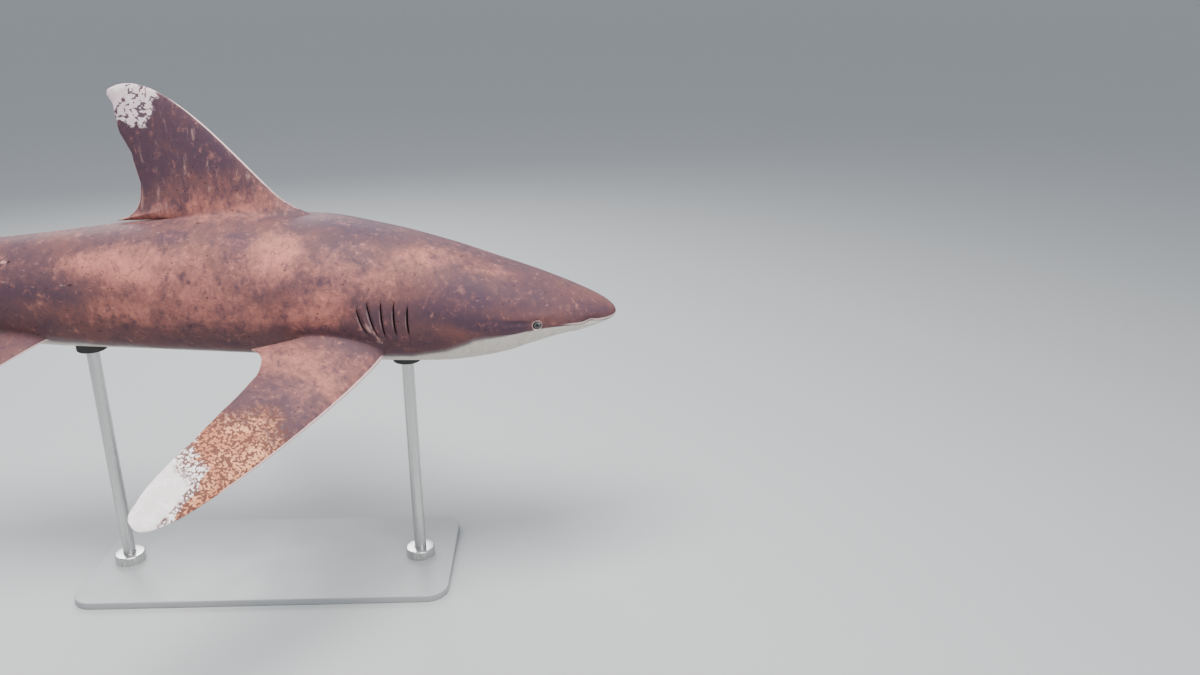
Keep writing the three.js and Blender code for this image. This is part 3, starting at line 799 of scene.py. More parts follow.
# Soft light and dark places of the hide, partly its own tone and partly painted sunlit patches and painted
# shade: s, degrees above the middle, reach along, reach round, amount.
BLUSHES_AND_SUN_PATCHES = [
    (29.3, 36, 2.0, 15, 0.6), (29.6, 54, 2.2, 10, 0.45), (44.2, 36, 4.2, 13, 0.6), (40.6, 23, 3.0, 12, 0.35),
    (17.6, 52, 3.0, 11, 0.5), (20.4, 27, 1.8, 12, 0.35), (15.8, 66, 2.2, 11, 0.35), (35.5, 4, 4, 9, 0.4),
    (11, 64, 1.8, 10, 0.45), (43, -4, 3, 8, 0.4), (57, 30, 4, 14, 0.4), (66, 20, 3, 20, 0.3),
    (25, 10, 2.5, 10, 0.3), (36, 26, 11, 26, 0.35), (35, 82, 5, 13, 0.4), (24, 30, 4, 22, 0.25),
    (30, -7, 5, 9, 0.4), (25, -3, 2.5, 8, 0.35), (40, -12, 5, 8, 0.3),
]
# The dark places, partly the hide's own and partly painted shade: between the sun patches on the back, behind
# the eye, below the gills and along the lower flank.
DUSKS_AND_SHADE = [
    (38.4, 56, 2.0, 10, 0.9), (32.6, 52, 1.8, 10, 0.9), (32.6, 33, 1.4, 11, 0.6), (12.8, 28, 3.4, 19, 0.9),
    (7, 40, 3, 30, 0.6), (8.8, 0, 0.9, 6, 0.8), (23.5, 77, 5, 16, 1), (13, 84, 6, 12, 0.5),
    (16.8, 12, 2.4, 10, 0.5), (20.3, 2, 2.4, 11, 0.5), (50.5, 10, 4.5, 13, 0.8), (45, 88, 5, 14, 0.4),
    (24.8, 45, 2, 12, 0.4), (1.8, 40, 2.2, 40, 0.75), (61, 48, 3, 18, 0.6), (71, 30, 3, 30, 0.5),
    (10.8, -1, 2.2, 5.5, 0.9), (14, 3, 3.2, 8, 0.7), (17, -20, 5, 10, 0.5), (35, -36, 15, 10, 0.5),
]
# The pale fold from the last two slits to the pectoral fin: degrees, s, and how pale it is.
PALE_FOLD = (
    [-31, -27, -20, -15, -9.5, -3, 6],
    [20.1, 20.15, 20.6, 21.05, 21.55, 21.9, 22.2],
    [0, 0.7, 0.8, 1, 1, 0.5, 0],
)
# Small wounds on the right side: s, degrees above the middle, length, how pale, how dark at the end ahead.
WOUNDS = [(47.4, 15.8, 0.5, 1, 0.9), (52.8, 41.5, 0.45, 1, 0.9), (6.15, 10.8, 0.35, 0.3, 0.6)]
# Where the white of a fin's tip begins, as shares of its chord and levels of its span, and where the pectoral
# fin's tan begins.
WHITE_FROM = {
    "first_dorsal": (
        [0, 0.12, 0.25, 0.4, 0.52, 0.7, 0.86, 1],
        [0.71, 0.7, 0.685, 0.668, 0.673, 0.72, 0.8, 0.83],
    ),
    "pectoral": ([0, 0.1, 0.26, 0.41, 0.8, 1], [0.75, 0.73, 0.66, 0.61, 0.64, 0.62]),
    "pelvic": ([0, 1], [0.74, 0.68]),
    "second_dorsal": ([0, 1], [0.9, 0.84]),
    "anal": ([0, 1], [0.92, 0.87]),
    "lower_lobe": ([0, 1], [0.82, 0.76]),
}
TAN_FROM = ([0, 0.1, 0.45, 0.9, 1], [0.46, 0.44, 0.43, 0.55, 0.57])
UNDER_ANAL = 0.35  # how pale the anal fin is
LID_PALENESS = [0, 0.1, 0.3, 0.5, 0.58, 0.55, 0.35] + 8 * [0]  # ring by ring


def degrees_up(s, share):
    """Degrees of a place above the middle of the side it is on."""
    turn = turn_of(s, share)
    return np.degrees(np.where(turn > math.pi / 2, math.pi - turn, turn))


def mm_above(s, share, line):
    """How far up the skin, in mm, a place lies from a line given as s and degrees."""
    line_turn = np.radians(np.interp(s, *zip(*line)))
    fold = np.abs((share + 0.5) % 1 - 0.5)
    return (fold - share_of(s, line_turn)) * girth(s) / MM


def spots(places, s, up):
    total = 0 * s
    for at_s, at_up, along, around, amount in places:
        total = total + amount * bump(s, at_s, along) * bump(up, at_up, around)
    return np.clip(total, 0, 1)


def body_marks(s, share, sink):
    up = degrees_up(s, share)
    soft = 3 + 21 * smoothstep(s, 6, 18)
    # On the trunk the band from the bronze to the cream widens, partly to paint the shade of the lower flank
    # and belly as dusky grey.
    full = -(1.3 + 1.2 * smoothstep(s, 18, 30)) * soft
    under = 1 - smoothstep(mm_above(s, share, BELLY_LINE), full, 0.7 * soft)
    fold_up, fold_s, paleness = PALE_FOLD
    scar = bump(s, np.interp(up, fold_up, fold_s), 0.3) * np.interp(up, fold_up, paleness)
    # Painted shade where the skin sinks deep, in the gill slits and the mouth.
    groove = smoothstep(sink, 1.2, 4)
    for at_s, at_up, long, pale, dark in WOUNDS:
        across = bump(up, at_up, 1.5) * (share % 1 > 0.5)
        scar = scar + pale * bump(s, at_s, long) * across
        groove = groove + dark * bump(s, at_s - 1.1 * long, 0.5 * long) * across
    drawn = {
        "under": under * (1 - 0.85 * smoothstep(s, 74.5, 80)),
        "eye_line": np.clip(mm_above(s, share, EYE_LINE) / LINE_REACH, -1, 1),
        "cheek_line": np.clip(mm_above(s, share, CHEEK_LINE) / LINE_REACH, -1, 1),
        "lip": 1 - smoothstep(s, 3.7, 5.2),
        "lip_shade": 1 - smoothstep(s, 5.9, 6.7),
        "cheek": smoothstep(s, 7.55, 7.95) * (1 - smoothstep(s, 10, 12.4)),
        "white": 0.9 * smoothstep(s, 93.5, 97.5),
        "scrawl": bump(s, 95.2, 1.3),
        "flap_highlight": bump(sink, -0.3, 0.13),
        "groove": groove,
        "dusk_and_shade": spots(DUSKS_AND_SHADE, s, up),
        "blush_and_sun_patch": spots(BLUSHES_AND_SUN_PATCHES, s, up),
        "scar": scar,
    }
    return {name: drawn.get(name, 0 * s) for name in MARKS}


def fin_marks(patch, k, t, below, start):
    """A fin's marks. `start` holds the body's own at its root. `below` is -1 on its top, 1 underneath."""
    paired = isinstance(FINS[patch.name]["stands"], dict)
    blend = smoothstep(t, 0, 0.03 if paired else 0.08)
    marks = {name: start[name] * (1 - blend) for name in MARKS}
    if paired:
        marks["under"] = marks["under"] + smoothstep(below, -0.5, 0.5) * blend
    elif patch.name == "anal":
        marks["under"] = marks["under"] + UNDER_ANAL * blend
    past = t - np.interp(k, *WHITE_FROM[patch.name])
    marks["white"] = 0.5 + 0.5 * np.clip(past / 0.06, -1, 1)
    marks["scrawl"] = smoothstep(past, -0.05, -0.01) * (1 - 0.8 * smoothstep(past, 0.03, 0.09))
    front = (1 - smoothstep(k, 0.003, 0.014)) * (1 - 0.6 * smoothstep(t, 0.5, 0.7))
    rear = 0.6 * smoothstep(k, 0.985, 0.9985)
    marks["rim"] = (front + rear) * smoothstep(t, 0.0, 0.05)
    if patch.name == "first_dorsal":
        mark_first_dorsal(marks, k, t, past)
    if patch.name == "pectoral":
        mark_pectoral(marks, k, t, past, below, blend)
    return {name: np.clip(values, 0, 1) for name, values in marks.items()}


def mark_first_dorsal(marks, k, t, past):
    """Dusky and streaked up to its white tip, rosy at its foot, with a finer pale rim low down in front."""
    slanting = t - 0.12 * k
    marks["scrawl"] = smoothstep(past, -0.02, 0.01) * (1 - 0.9 * smoothstep(t, 0.83, 0.9))
    dusk_and_shade = 0.8 * smoothstep(slanting, 0.15, 0.42) * (1 - smoothstep(past, 0.02, 0.08))
    marks["dusk_and_shade"] = dusk_and_shade + 0.5 * bump(k, 0.16, 0.13) * bump(t, 0.38, 0.12)
    marks["streaks"] = smoothstep(t, 0.0, 0.12) * (1 - smoothstep(past, -0.12, 0))
    fine = 1 - smoothstep(k, 0.009, 0.012) * (k < 0.5)
    marks["rim"] = marks["rim"] * (0.45 + 0.55 * smoothstep(t, 0.02, 0.4)) * fine
    rosy = smoothstep(t, 0, 0.08) * (1 - smoothstep(slanting, 0.02, 0.3))
    marks["blush_and_sun_patch"] = marks["blush_and_sun_patch"] + 0.55 * rosy


def mark_pectoral(marks, k, t, past, below, blend):
    """Tan and scrawled on top before its white tip, with a pale leading edge."""
    tan_past = t - np.interp(k, *TAN_FROM)
    on_top = 1 - smoothstep(below, -0.6, 0.4)
    marks["tan"] = smoothstep(tan_past, -0.14, 0.16) * on_top
    marks["scrawl"] = smoothstep(tan_past, -0.16, 0.0) * (1 - 0.93 * smoothstep(past, 0.0, 0.1)) * on_top
    marks["dusk_and_shade"] = marks["dusk_and_shade"] + blend * (0.05 + 0.2 * bump(t, 0.37, 0.07))
    marks["blush_and_sun_patch"] = marks["blush_and_sun_patch"] + blend * (0.1 + 0.35 * bump(t, 0.2, 0.12))
    edge = (1 - smoothstep(k, 0.01, 0.026)) * smoothstep(t, 0.01, 0.05) * (t < 0.6)
    marks["rim"] = np.maximum(marks["rim"], edge)


def skin_marks(at, net):
    """All marks of all corners. `at` holds each corner's row, column, kind, side, ring, k and t."""
    s, share, sink = (values[at["row"], at["column"]] for values in net)
    marks = body_marks(s, share, sink)
    for patch in PATCHES:
        mine = patch.mine(at)
        ring = at["ring"][mine]
        if patch.kind == SOCKET:
            marks["rim"][mine] = np.array(LID_PALENESS)[ring]
            # Painted shade deep in the eye socket.
            marks["groove"][mine] = smoothstep(ring, 5.5, 7)
        elif patch.kind == POCKET:
            # Painted shade deep in the nostril.
            marks["groove"][mine] = smoothstep(ring, 1.5, 4)
            marks["rim"][mine] = 0.6 * bump(ring, 1, 0.7)
        else:
            start = {name: values[mine] for name, values in marks.items()}
            below = off_sign(patch) * patch.own(at["row"][mine], at["column"][mine])[1]
            for name, values in fin_marks(patch, at["k"][mine], at["t"][mine], below, start).items():
                marks[name][mine] = values
    return marks


def skin_mesh():
    bm, layers = sewn_net()
    draw_out_patches(bm, layers)
    mesh = mesh_from("shark_skin", bm)
    at = {}
    for name in layers:
        at[name] = np.zeros(len(mesh.vertices), np.int32)
        mesh.attributes[name].data.foreach_get("value", at[name])
    at["k"], at["t"] = np.zeros((2, len(mesh.vertices)))

    s, share, sink = skin_places()
    normals = skin_normals(s, share)
    net = to_world(body_point(s, share)) + normals * ((body_relief(s, share) - sink) * 0.001)[..., None]
    co = net[at["row"], at["column"]]
    for patch in PATCHES:
        mine = patch.mine(at)
        row, column, ring = at["row"][mine], at["column"][mine], at["ring"][mine]
        if patch.kind == SOCKET:
            co[mine] = eye_corners(patch, row, column, ring)
        elif patch.kind == POCKET:
            co[mine] = nostril_corners(patch, row, column, ring, normals[row, column])
        else:
            co[mine], at["k"][mine], at["t"][mine] = fin_corners(patch, row, column, ring, net[row, column])
    mesh.vertices.foreach_set("co", co.astype(np.float32).ravel())
    for name, values in skin_marks(at, (s, share, sink)).items():
        mesh.attributes.new(name, "FLOAT", "POINT").data.foreach_set("value", values.astype(np.float32))
    for name in layers:
        mesh.attributes.remove(mesh.attributes[name])
    mesh.update()
    return mesh


# ---- Finishes ----
# The hide's colours. The mauve tint of the plum is painted shade and the warmth of the rose is painted
# sunlight. The dusky grey and the near black also paint shade, and the pale lip colour also paints
# highlights.
HIDE = {
    "bronze": (0.165, 0.070, 0.065),
    "plum_and_shade": (0.066, 0.039, 0.057),
    "rose_and_sunlight": (0.525, 0.188, 0.145),
    "ash": (0.092, 0.051, 0.062),
    "fleck": (0.560, 0.230, 0.175),
    "cream": (0.560, 0.505, 0.440),
    "dusky_and_belly_shade": (0.170, 0.135, 0.145),
    "white": (0.880, 0.850, 0.850),
    "lilac": (0.640, 0.500, 0.530),
    "tan": (0.800, 0.365, 0.200),
    "deep_tan": (0.520, 0.190, 0.100),
    "scrawl": (0.120, 0.045, 0.036),
    "speck": (0.022, 0.012, 0.014),
    "scar": (0.640, 0.385, 0.340),
    "slit": (0.008, 0.005, 0.007),
    "lip": (0.700, 0.500, 0.490),
}


class Finish:
    """A material whose nodes are added one by one, from its own coordinates to its shader."""

    def __init__(self, name):
        self.material = bpy.data.materials.new(name)
        self.material.use_nodes = True
        self.nodes, self.links = self.material.node_tree.nodes, self.material.node_tree.links
        self.shader = self.nodes["Principled BSDF"]
        self.place = self.add("TexCoord", "Object")
        self.colour = None

    def feed(self, socket, value):
        """Links a socket to another, or sets it to a number or a colour, which may be one of HIDE by name."""
        if isinstance(value, bpy.types.NodeSocket):
            self.links.new(value, socket)
        elif socket.type == "RGBA":
            socket.default_value = (*HIDE.get(value, value), 1)
        else:
            socket.default_value = value

    def add(self, kind, output, inputs=(), **settings):
        """The named output of a new node with these settings and inputs."""
        node = self.nodes.new("ShaderNode" + kind)
        for name, value in settings.items():
            setattr(node, name, value)
        for name, value in dict(inputs).items():
            self.feed(node.inputs[name], value)
        return node.outputs[output]

    def mark(self, name):
        return self.add("Attribute", "Fac", attribute_name=name)

    def stretched(self, scale, turn=(0, 0, 0)):
        return self.add("Mapping", "Vector", {"Scale": scale, "Rotation": turn, "Vector": self.place})

    def noise(self, scale, detail=3.0, rough=0.5, place=None, warp=0.0, output="Fac"):
        inputs = {"Scale": scale, "Detail": detail, "Roughness": rough, "Distortion": warp}
        return self.add("TexNoise", output, {"Vector": place or self.place, **inputs})

    def warped(self, scale, amount, place=None):
        """The place, pushed about by up to half of `amount` or so, which takes the order out of a pattern."""
        push = self.noise(scale, 2, output="Color")
        inputs = {0: push, 1: (amount, amount, amount), 2: place or self.place}
        return self.add("VectorMath", 0, inputs, operation="MULTIPLY_ADD")

    def cells(self, scale, place):
        """The distance from the middle of the nearest cell, and that cell's own chance number."""
        distance = self.add("TexVoronoi", "Distance", {"Scale": scale, "Vector": place})
        return distance, distance.node.outputs["Color"]

    def math(self, kind, *values):
        return self.add("Math", 0, enumerate(values), operation=kind)

    def plus(self, a, b):
        return self.math("ADD", a, b)

    def times(self, value, *factors):
        for factor in factors:
            value = self.math("MULTIPLY", value, factor)
        return value

    def scaled(self, value, gain, offset):
        return self.math("MULTIPLY_ADD", value, gain, offset)

    def less(self, a, b):
        return self.math("SUBTRACT", a, b)

    def larger(self, a, b):
        return self.math("MAXIMUM", a, b)

    def ramp(self, value, start, end, low=0.0, high=1.0):
        """From low at `start` to high at `end`, eased."""
        inputs = {"Value": value, "From Min": start, "From Max": end, "To Min": low, "To Max": high}
        return self.add("MapRange", "Result", inputs, interpolation_type="SMOOTHSTEP")

    def mix(self, share, a, b):
        node = self.nodes.new("ShaderNodeMix")
        node.data_type = "RGBA"
        self.feed(node.inputs["Factor"], share)
        for socket, value in zip([socket for socket in node.inputs if socket.type == "RGBA"], (a, b)):
            self.feed(socket, value)
        return next(socket for socket in node.outputs if socket.type == "RGBA")

    def paint(self, amount, colour):
        """Lays a colour over what is there already."""
        self.colour = self.mix(amount, self.colour, colour)

    def bump(self, height, strength, distance, under=None):
        inputs = {"Strength": strength, "Distance": distance, "Height": height}
        if under:
            inputs["Normal"] = under
        return self.add("Bump", "Normal", inputs)

    def finish(self, **values):
        for name, value in values.items():
            self.feed(self.shader.inputs[name.replace("_", " ")], value)
        return self.material


def band(hide, distance, middle, half_width):
    """A soft line at so many mm from a fine line of the head."""
    off = hide.math("ABSOLUTE", hide.less(distance, middle / LINE_REACH))
    return hide.ramp(off, 1.5 * half_width / LINE_REACH, 0.5 * half_width / LINE_REACH)


def scrawls(hide, scale, width, share):
    """Short worm-like strokes: the level lines of a noise, broken by another."""
    hills = hide.noise(scale, 1.5, 0.5, hide.warped(scale, 0.8 / scale))
    worm = hide.ramp(hide.math("ABSOLUTE", hide.less(hills, 0.5)), width, 0.5 * width)
    breaks = hide.ramp(hide.noise(1.7 * scale, 1), 0.40, 0.46)
    return hide.times(worm, breaks, share)


def hide_finish():
    """The shark's skin: bronze above, cream below, white scrawled tips, specks, scars, painted shade in the
    slits, and painted sun patches and shade on the flanks.
    """
    hide = Finish("shark_hide")
    mark, ramp, mix, paint = hide.mark, hide.ramp, hide.mix, hide.paint
    plus, less, times, scaled = hide.plus, hide.less, hide.times, hide.scaled
    broad = hide.noise(6, 6, 0.62, warp=0.5)
    cloud = hide.noise(19, 7, 0.68, hide.stretched((1, 1, 1.3)), 0.3)
    patchy = hide.noise(66, 7, 0.72, hide.stretched((1, 1, 0.8), (0, 0.4, 0)), 0.4)
    grain = hide.noise(170, 5, 0.7)
    fine = hide.noise(520, 3, 0.6)

    # Bronze and ash, with dark places that are partly painted shade and light places that are partly painted
    # sunlit patches, flecks and grain
    hide.colour = mix(ramp(broad, 0.38, 0.64), "ash", "bronze")
    paint(ramp(plus(mark("dusk_and_shade"), scaled(cloud, 1.2, -0.6)), 0.12, 0.95), "plum_and_shade")
    # Rose patches, partly the hide's own tone and partly painted sunlit patches.
    blush_and_sun_patch = plus(mark("blush_and_sun_patch"), scaled(patchy, 0.9, scaled(cloud, 1.3, -1.05)))
    paint(ramp(blush_and_sun_patch, 0.08, 1.05, 0, 0.9), "rose_and_sunlight")
    paint(ramp(patchy, 0.54, 0.72, 0, 0.36), "fleck")
    paint(ramp(patchy, 0.46, 0.34, 0, 0.6), "plum_and_shade")
    paint(ramp(grain, 0.35, 0.65, 0, 0.3), "ash")

    # Streaks that lean back with the first dorsal fin
    streak = hide.noise(24, 4, 0.65, hide.warped(14, 0.05, hide.stretched((3.2, 3.2, 0.8), (0, -0.45, 0))))
    paint(times(ramp(streak, 0.5, 0.36), mark("streaks"), 0.6), "plum_and_shade")
    paint(times(ramp(streak, 0.57, 0.72), mark("streaks"), 0.28), "scar")

    # Underside, with a dusky band between the bronze and the cream, partly the hide's own grey and partly
    # painted shade of the lower flank and belly
    under = plus(mark("under"), scaled(cloud, 0.5, -0.25))
    paint(ramp(under, 0.15, 0.55, 0, 0.8), "dusky_and_belly_shade")
    paint(ramp(under, 0.5, 0.95), mix(ramp(patchy, 0.35, 0.75, 0, 0.4), "cream", "white"))

    # Dark specks, short strokes, pale nicks and scars
    above = ramp(mark("under"), 0.9, 0.3)
    distance, chance = hide.cells(118, hide.warped(240, 0.005))
    specks = ramp(less(distance, scaled(chance, 0.42, -0.19)), 0.07, -0.05)
    paint(times(specks, above, 0.7), "speck")
    distance, chance = hide.cells(30, hide.warped(90, 0.02, hide.stretched((1, 1, 3.2), (0, 0.5, 0))))
    paint(times(ramp(distance, 0.13, 0.06), ramp(chance, 0.58, 0.62), above, 0.65), "speck")
    distance, chance = hide.cells(27, hide.warped(120, 0.012, hide.stretched((1, 1, 3.6), (0, -0.7, 0))))
    nicks = ramp(less(distance, scaled(patchy, 0.3, -0.05)), 0.05, -0.03)
    nicks = times(nicks, ramp(chance, 0.57, 0.61), ramp(grain, 0.42, 0.55))
    nicks = times(nicks, ramp(mark("streaks"), 1, 0, 0.3, 1))
    paint(times(nicks, 0.22), "scar")
    paint(ramp(plus(mark("scar"), scaled(patchy, 1.8, -0.95)), 0.3, 1.1, 0, 0.65), "scar")

    # Tan and white tips, with worm-like scrawls where the white begins
    ragged = scaled(hide.noise(36, 4, 0.62, warp=0.6), 0.9, -0.45)
    mottled = scaled(patchy, 1.3, scaled(ragged, 0.6, -0.65))
    paint(ramp(plus(mark("tan"), mottled), 0.2, 0.75, 0, 0.9), mix(ramp(cloud, 0.42, 0.6), "deep_tan", "tan"))
    pinkish = plus(ramp(patchy, 0.62, 0.45, 0, 0.5), ramp(mark("tan"), 0.5, 0, 0, 0.55))
    paint(ramp(plus(mark("white"), ragged), 0.42, 0.56), mix(pinkish, "white", "lilac"))
    bold = scrawls(hide, 62, 0.06, ramp(mark("tan"), 0.3, 0.0))
    small = scrawls(hide, 112, 0.13, ramp(mark("tan"), 0.0, 0.3))
    worms = times(hide.larger(bold, small), ramp(plus(mark("scrawl"), ragged), 0.2, 0.6, 0, 0.95))
    paint(worms, mix(ramp(mark("tan"), 0.0, 0.4), "plum_and_shade", "scrawl"))

    # Sense pores of the snout
    pores = ramp(hide.cells(150, hide.warped(60, 0.004))[0], 0.17, 0.09)
    paint(times(pores, ramp(hide.noise(24, 2), 0.45, 0.55), mark("lip_shade"), 0.35), "plum_and_shade")

    # Pale lip along the snout's lower edge, partly the pale of the underside and partly a painted highlight
    # where the edge meets the light; painted shade in a dark line beneath it and behind the eye
    lip_line, cheek_line = mark("eye_line"), mark("cheek_line")
    paint(times(band(hide, lip_line, -3, 1.5), mark("lip_shade"), 0.55), "plum_and_shade")
    # Painted shade behind the eye: dark lines in the creases along the eye line and the cheek line, and a
    # shaded band between them.
    between = times(ramp(lip_line, 0.05, -0.03), ramp(cheek_line, -0.05, 0.03), 0.45)
    behind = hide.larger(band(hide, lip_line, 0, 1.5), band(hide, cheek_line, 0, 1.7))
    paint(times(hide.larger(behind, between), mark("cheek"), 0.8), "plum_and_shade")
    paint(times(band(hide, lip_line, 0, 1.3), mark("lip"), 0.9), "lip")

    # Pale rims of fins and lids, painted highlights on the raised edges of the gill flaps, and painted shade,
    # near black, where the skin lies deep
    paint(ramp(plus(mark("rim"), scaled(patchy, 0.5, -0.25)), 0.25, 0.8, 0, 0.9), "lip")
    # Painted highlight on the raised edges beside the gill slits.
    paint(ramp(mark("flap_highlight"), 0.6, 0.95, 0, 0.2), "lip")
    paint(ramp(mark("groove"), 0.15, 0.8), "slit")

    normal = hide.bump(fine, 0.22, 0.0005)
    for height, strength, distance in ((grain, 0.3, 0.001), (patchy, 0.25, 0.003), (nicks, 0.15, 0.001)):
        normal = hide.bump(height, strength, distance, normal)
    rough = scaled(grain, 0.25, 0.46)
    return hide.finish(Base_Color=hide.colour, Roughness=rough, Normal=normal, Specular_IOR_Level=0.12)


def eye_finish():
    """A grey iris with fine fibres and a darker rim, round a black pupil, by degrees off the eye's axis."""
    eye = Finish("shark_eye")
    off = eye.mark("off_axis")
    iris = eye.mix(eye.noise(900, 3, 0.6), (0.022, 0.023, 0.024), (0.08, 0.078, 0.07))
    iris = eye.mix(eye.ramp(off, 28, 36), iris, (0.03, 0.025, 0.025))
    colour = eye.mix(eye.ramp(off, 17.5, 15.5), iris, (0.002, 0.002, 0.003))
    return eye.finish(Base_Color=colour, Roughness=0.12, Coat_Weight=1.0, Coat_Roughness=0.03, IOR=1.38)


def paint_finish():
    paint = Finish("stand_powder_coat")
    cloud = paint.noise(9, 3)
    colour = paint.mix(cloud, (0.30, 0.31, 0.32), (0.36, 0.37, 0.38))
    orange_peel = paint.bump(paint.noise(420, 2), 0.25, 0.0004)
    rough = paint.ramp(cloud, 0.3, 0.7, 0.42, 0.55)
    return paint.finish(Base_Color=colour, Roughness=rough, Normal=orange_peel)


def steel_finish():
    steel = Finish("stand_brushed_steel")
    brushed = steel.noise(500, 2, 0.6, steel.stretched((1, 1, 0.02)))
    colour = steel.mix(brushed, (0.50, 0.50, 0.50), (0.68, 0.68, 0.67))
    rough = steel.ramp(brushed, 0.2, 0.8, 0.22, 0.38)
    normal = steel.bump(brushed, 0.12, 0.0002)
    return steel.finish(Base_Color=colour, Metallic=1.0, Roughness=rough, Normal=normal)


def rubber_finish():
    rubber = Finish("stand_rubber")
    colour = rubber.mix(rubber.noise(30, 3, 0.6), (0.018, 0.018, 0.019), (0.035, 0.034, 0.034))
    grain = rubber.bump(rubber.noise(700, 2), 0.2, 0.0003)
    return rubber.finish(Base_Color=colour, Roughness=0.72, Normal=grain)


# ---- Pieces ----
def mesh_from(name, bm):
    """A smooth-shaded mesh from a bmesh."""
    mesh = bpy.data.meshes.new(name)
    bm.to_mesh(mesh)
    bm.free()
    mesh.polygons.foreach_set("use_smooth", np.ones(len(mesh.polygons), bool))
    return mesh


def shown(name, data):
    """A new object of the scene, at the origin."""
    made = bpy.data.objects.new(name, data)
    bpy.context.scene.collection.objects.link(made)
    return made


def piece(name, mesh, material, slot, *nodes):
    """A finished piece, riding on the one body and standing for its nodes."""
    made = shown(name, mesh)
    mesh.materials.append(material)
    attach(made, "root")
    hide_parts(*nodes)


def edged_piece(name, bm, material, slot, *nodes, sharp=0.6):
    """A piece from a bmesh in place, its edges kept sharp where they turn by more than that many radians."""
    mesh = mesh_from(name, bm)
    mesh.set_sharp_from_angle(angle=sharp)
    piece(name, mesh, material, slot, *nodes)


def shark_skin():
    flesh = [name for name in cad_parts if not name.startswith(("stand_", "eye_"))]
    piece("shark_skin", skin_mesh(), hide_finish(), "skin", *flesh)


def eyeball(hand, side, material):
    """A ball whose pole looks straight out of the head, with each corner's degrees off that axis."""
    bm = bmesh.new()
    bmesh.ops.create_uvsphere(bm, u_segments=48, v_segments=32, radius=EYE["ball"] * PERCENT)
    off = bm.verts.layers.float.new("off_axis")
    for vert in bm.verts:
        vert[off] = math.degrees(vert.co.angle(Vector((0, 0, 1))))
    sunk = math.sqrt(EYE["ball"] ** 2 - EYE["showing"] ** 2)
    centre = to_world(np.array([EYE["s"], side * (float(half_width(EYE["s"])) - sunk), EYE["z"]]))
    ahead, up = EYE["gaze"]
    out = Vector((ahead, side, up)).normalized()
    turn = Vector((0, 0, 1)).rotation_difference(out).to_matrix().to_4x4()
    bmesh.ops.transform(bm, matrix=Matrix.Translation(centre) @ turn, verts=bm.verts[:])
    piece(f"eyeball_{hand}", mesh_from(f"eyeball_{hand}", bm), material, "eye", f"eye_{hand}")


PLATE = {"corner": 0.045, "chamfer": 0.002}
COLLAR = {"round": 0.003, "gap": 0.0003, "chamfer": 0.001}
PAD = {"round": 0.003, "high": 0.012, "step": 0.001, "rings": 8, "sunk": 0.0004}
SCREW = {"radius": 0.0035, "long": 0.004, "wall": 0.0016, "socket": 0.002, "middle": 0.0016}
ROUND = 64  # sides of the stand's round pieces


def base_plate(material):
    """A plate with round corners and a fine rounded edge, above and below."""
    low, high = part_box("stand_base")
    bm = bmesh.new()
    bmesh.ops.create_cube(bm, size=1)
    bmesh.ops.scale(bm, vec=high - low, verts=bm.verts[:])
    bmesh.ops.translate(bm, vec=(low + high) / 2, verts=bm.verts[:])
    for upright, offset, segments in ((True, PLATE["corner"], 16), (False, PLATE["chamfer"], 4)):
        rises = {edge: abs(edge.verts[0].co.z - edge.verts[1].co.z) for edge in bm.edges}
        edges = [edge for edge, rise in rises.items() if (rise > 1e-5) == upright]
        bmesh.ops.bevel(
            bm, geom=edges, offset=offset, segments=segments, affect="EDGES", profile=0.5, material=-1
        )
    edged_piece("stand_plate", bm, material, "stand_paint", "stand_base", sharp=0.5)


def spun(x, profile, hollow=False):
    """A bmesh of a profile of (radius, height) spun about an upright axis at x."""
    bm = bmesh.new()
    verts = [bm.verts.new((radius, 0, height)) for radius, height in profile]
    following = verts[1:] + verts[:1] if hollow else verts[1:]
    edges = [bm.edges.new(pair) for pair in zip(verts, following)]
    bmesh.ops.spin(
        bm, geom=verts + edges, axis=(0, 0, 1), cent=(0, 0, 0), angle=2 * math.pi, steps=ROUND, use_merge=True
    )
    bmesh.ops.remove_doubles(bm, verts=bm.verts[:], dist=1e-6)
    bmesh.ops.recalc_face_normals(bm, faces=bm.faces[:])
    bmesh.ops.translate(bm, vec=(x, 0, 0), verts=bm.verts[:])
    return bm


def rounded(radius, height, rounding, steps=5):
    """Points round a corner of a profile whose square corner is at (radius, height), from side to top."""
    turns = [i / steps * math.pi / 2 for i in range(steps + 1)]
    inner, lower = radius - rounding, height - rounding
    return [(inner + rounding * math.cos(turn), lower + rounding * math.sin(turn)) for turn in turns]


def belly_height(x, y):
    """Height of the shark's underside over a point of the floor."""
    s = BALANCE - x / PERCENT
    for _ in range(3):
        at = to_world(on_section(np.array(s), turn_under(np.array(s), np.array(y / PERCENT))))
        s = s + (float(at[0]) - x) / PERCENT
    return float(at[2])


def rod(place, steel, rubber):
    """One rod with the collar at its foot, its grub screw, and the pad that carries the belly."""
    low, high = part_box(f"stand_rod_{place}")
    x, radius = (low.x + high.x) / 2, (high.x - low.x) / 2
    bm = spun(x, [(0, low.z), (radius, low.z), (radius, high.z), (0, high.z)])
    edged_piece(f"rod_{place}", bm, steel, "stand_steel", f"stand_rod_{place}")

    low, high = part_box(f"stand_collar_{place}")
    outer, bore, chamfer = (high.x - low.x) / 2, radius + COLLAR["gap"], COLLAR["chamfer"]
    shoulder = rounded(outer, high.z, COLLAR["round"])
    mouth = [(bore + chamfer, high.z), (bore, high.z - chamfer)]
    bm = spun(x, [(bore, low.z), (outer, low.z), *shoulder, *mouth], hollow=True)
    edged_piece(f"collar_{place}", bm, steel, "stand_steel", f"stand_collar_{place}")
    grub_screw(f"grub_screw_{place}", Vector((x, -outer + SCREW["middle"], (low.z + high.z) / 2)), steel)
    belly_pad(place, x, rubber)


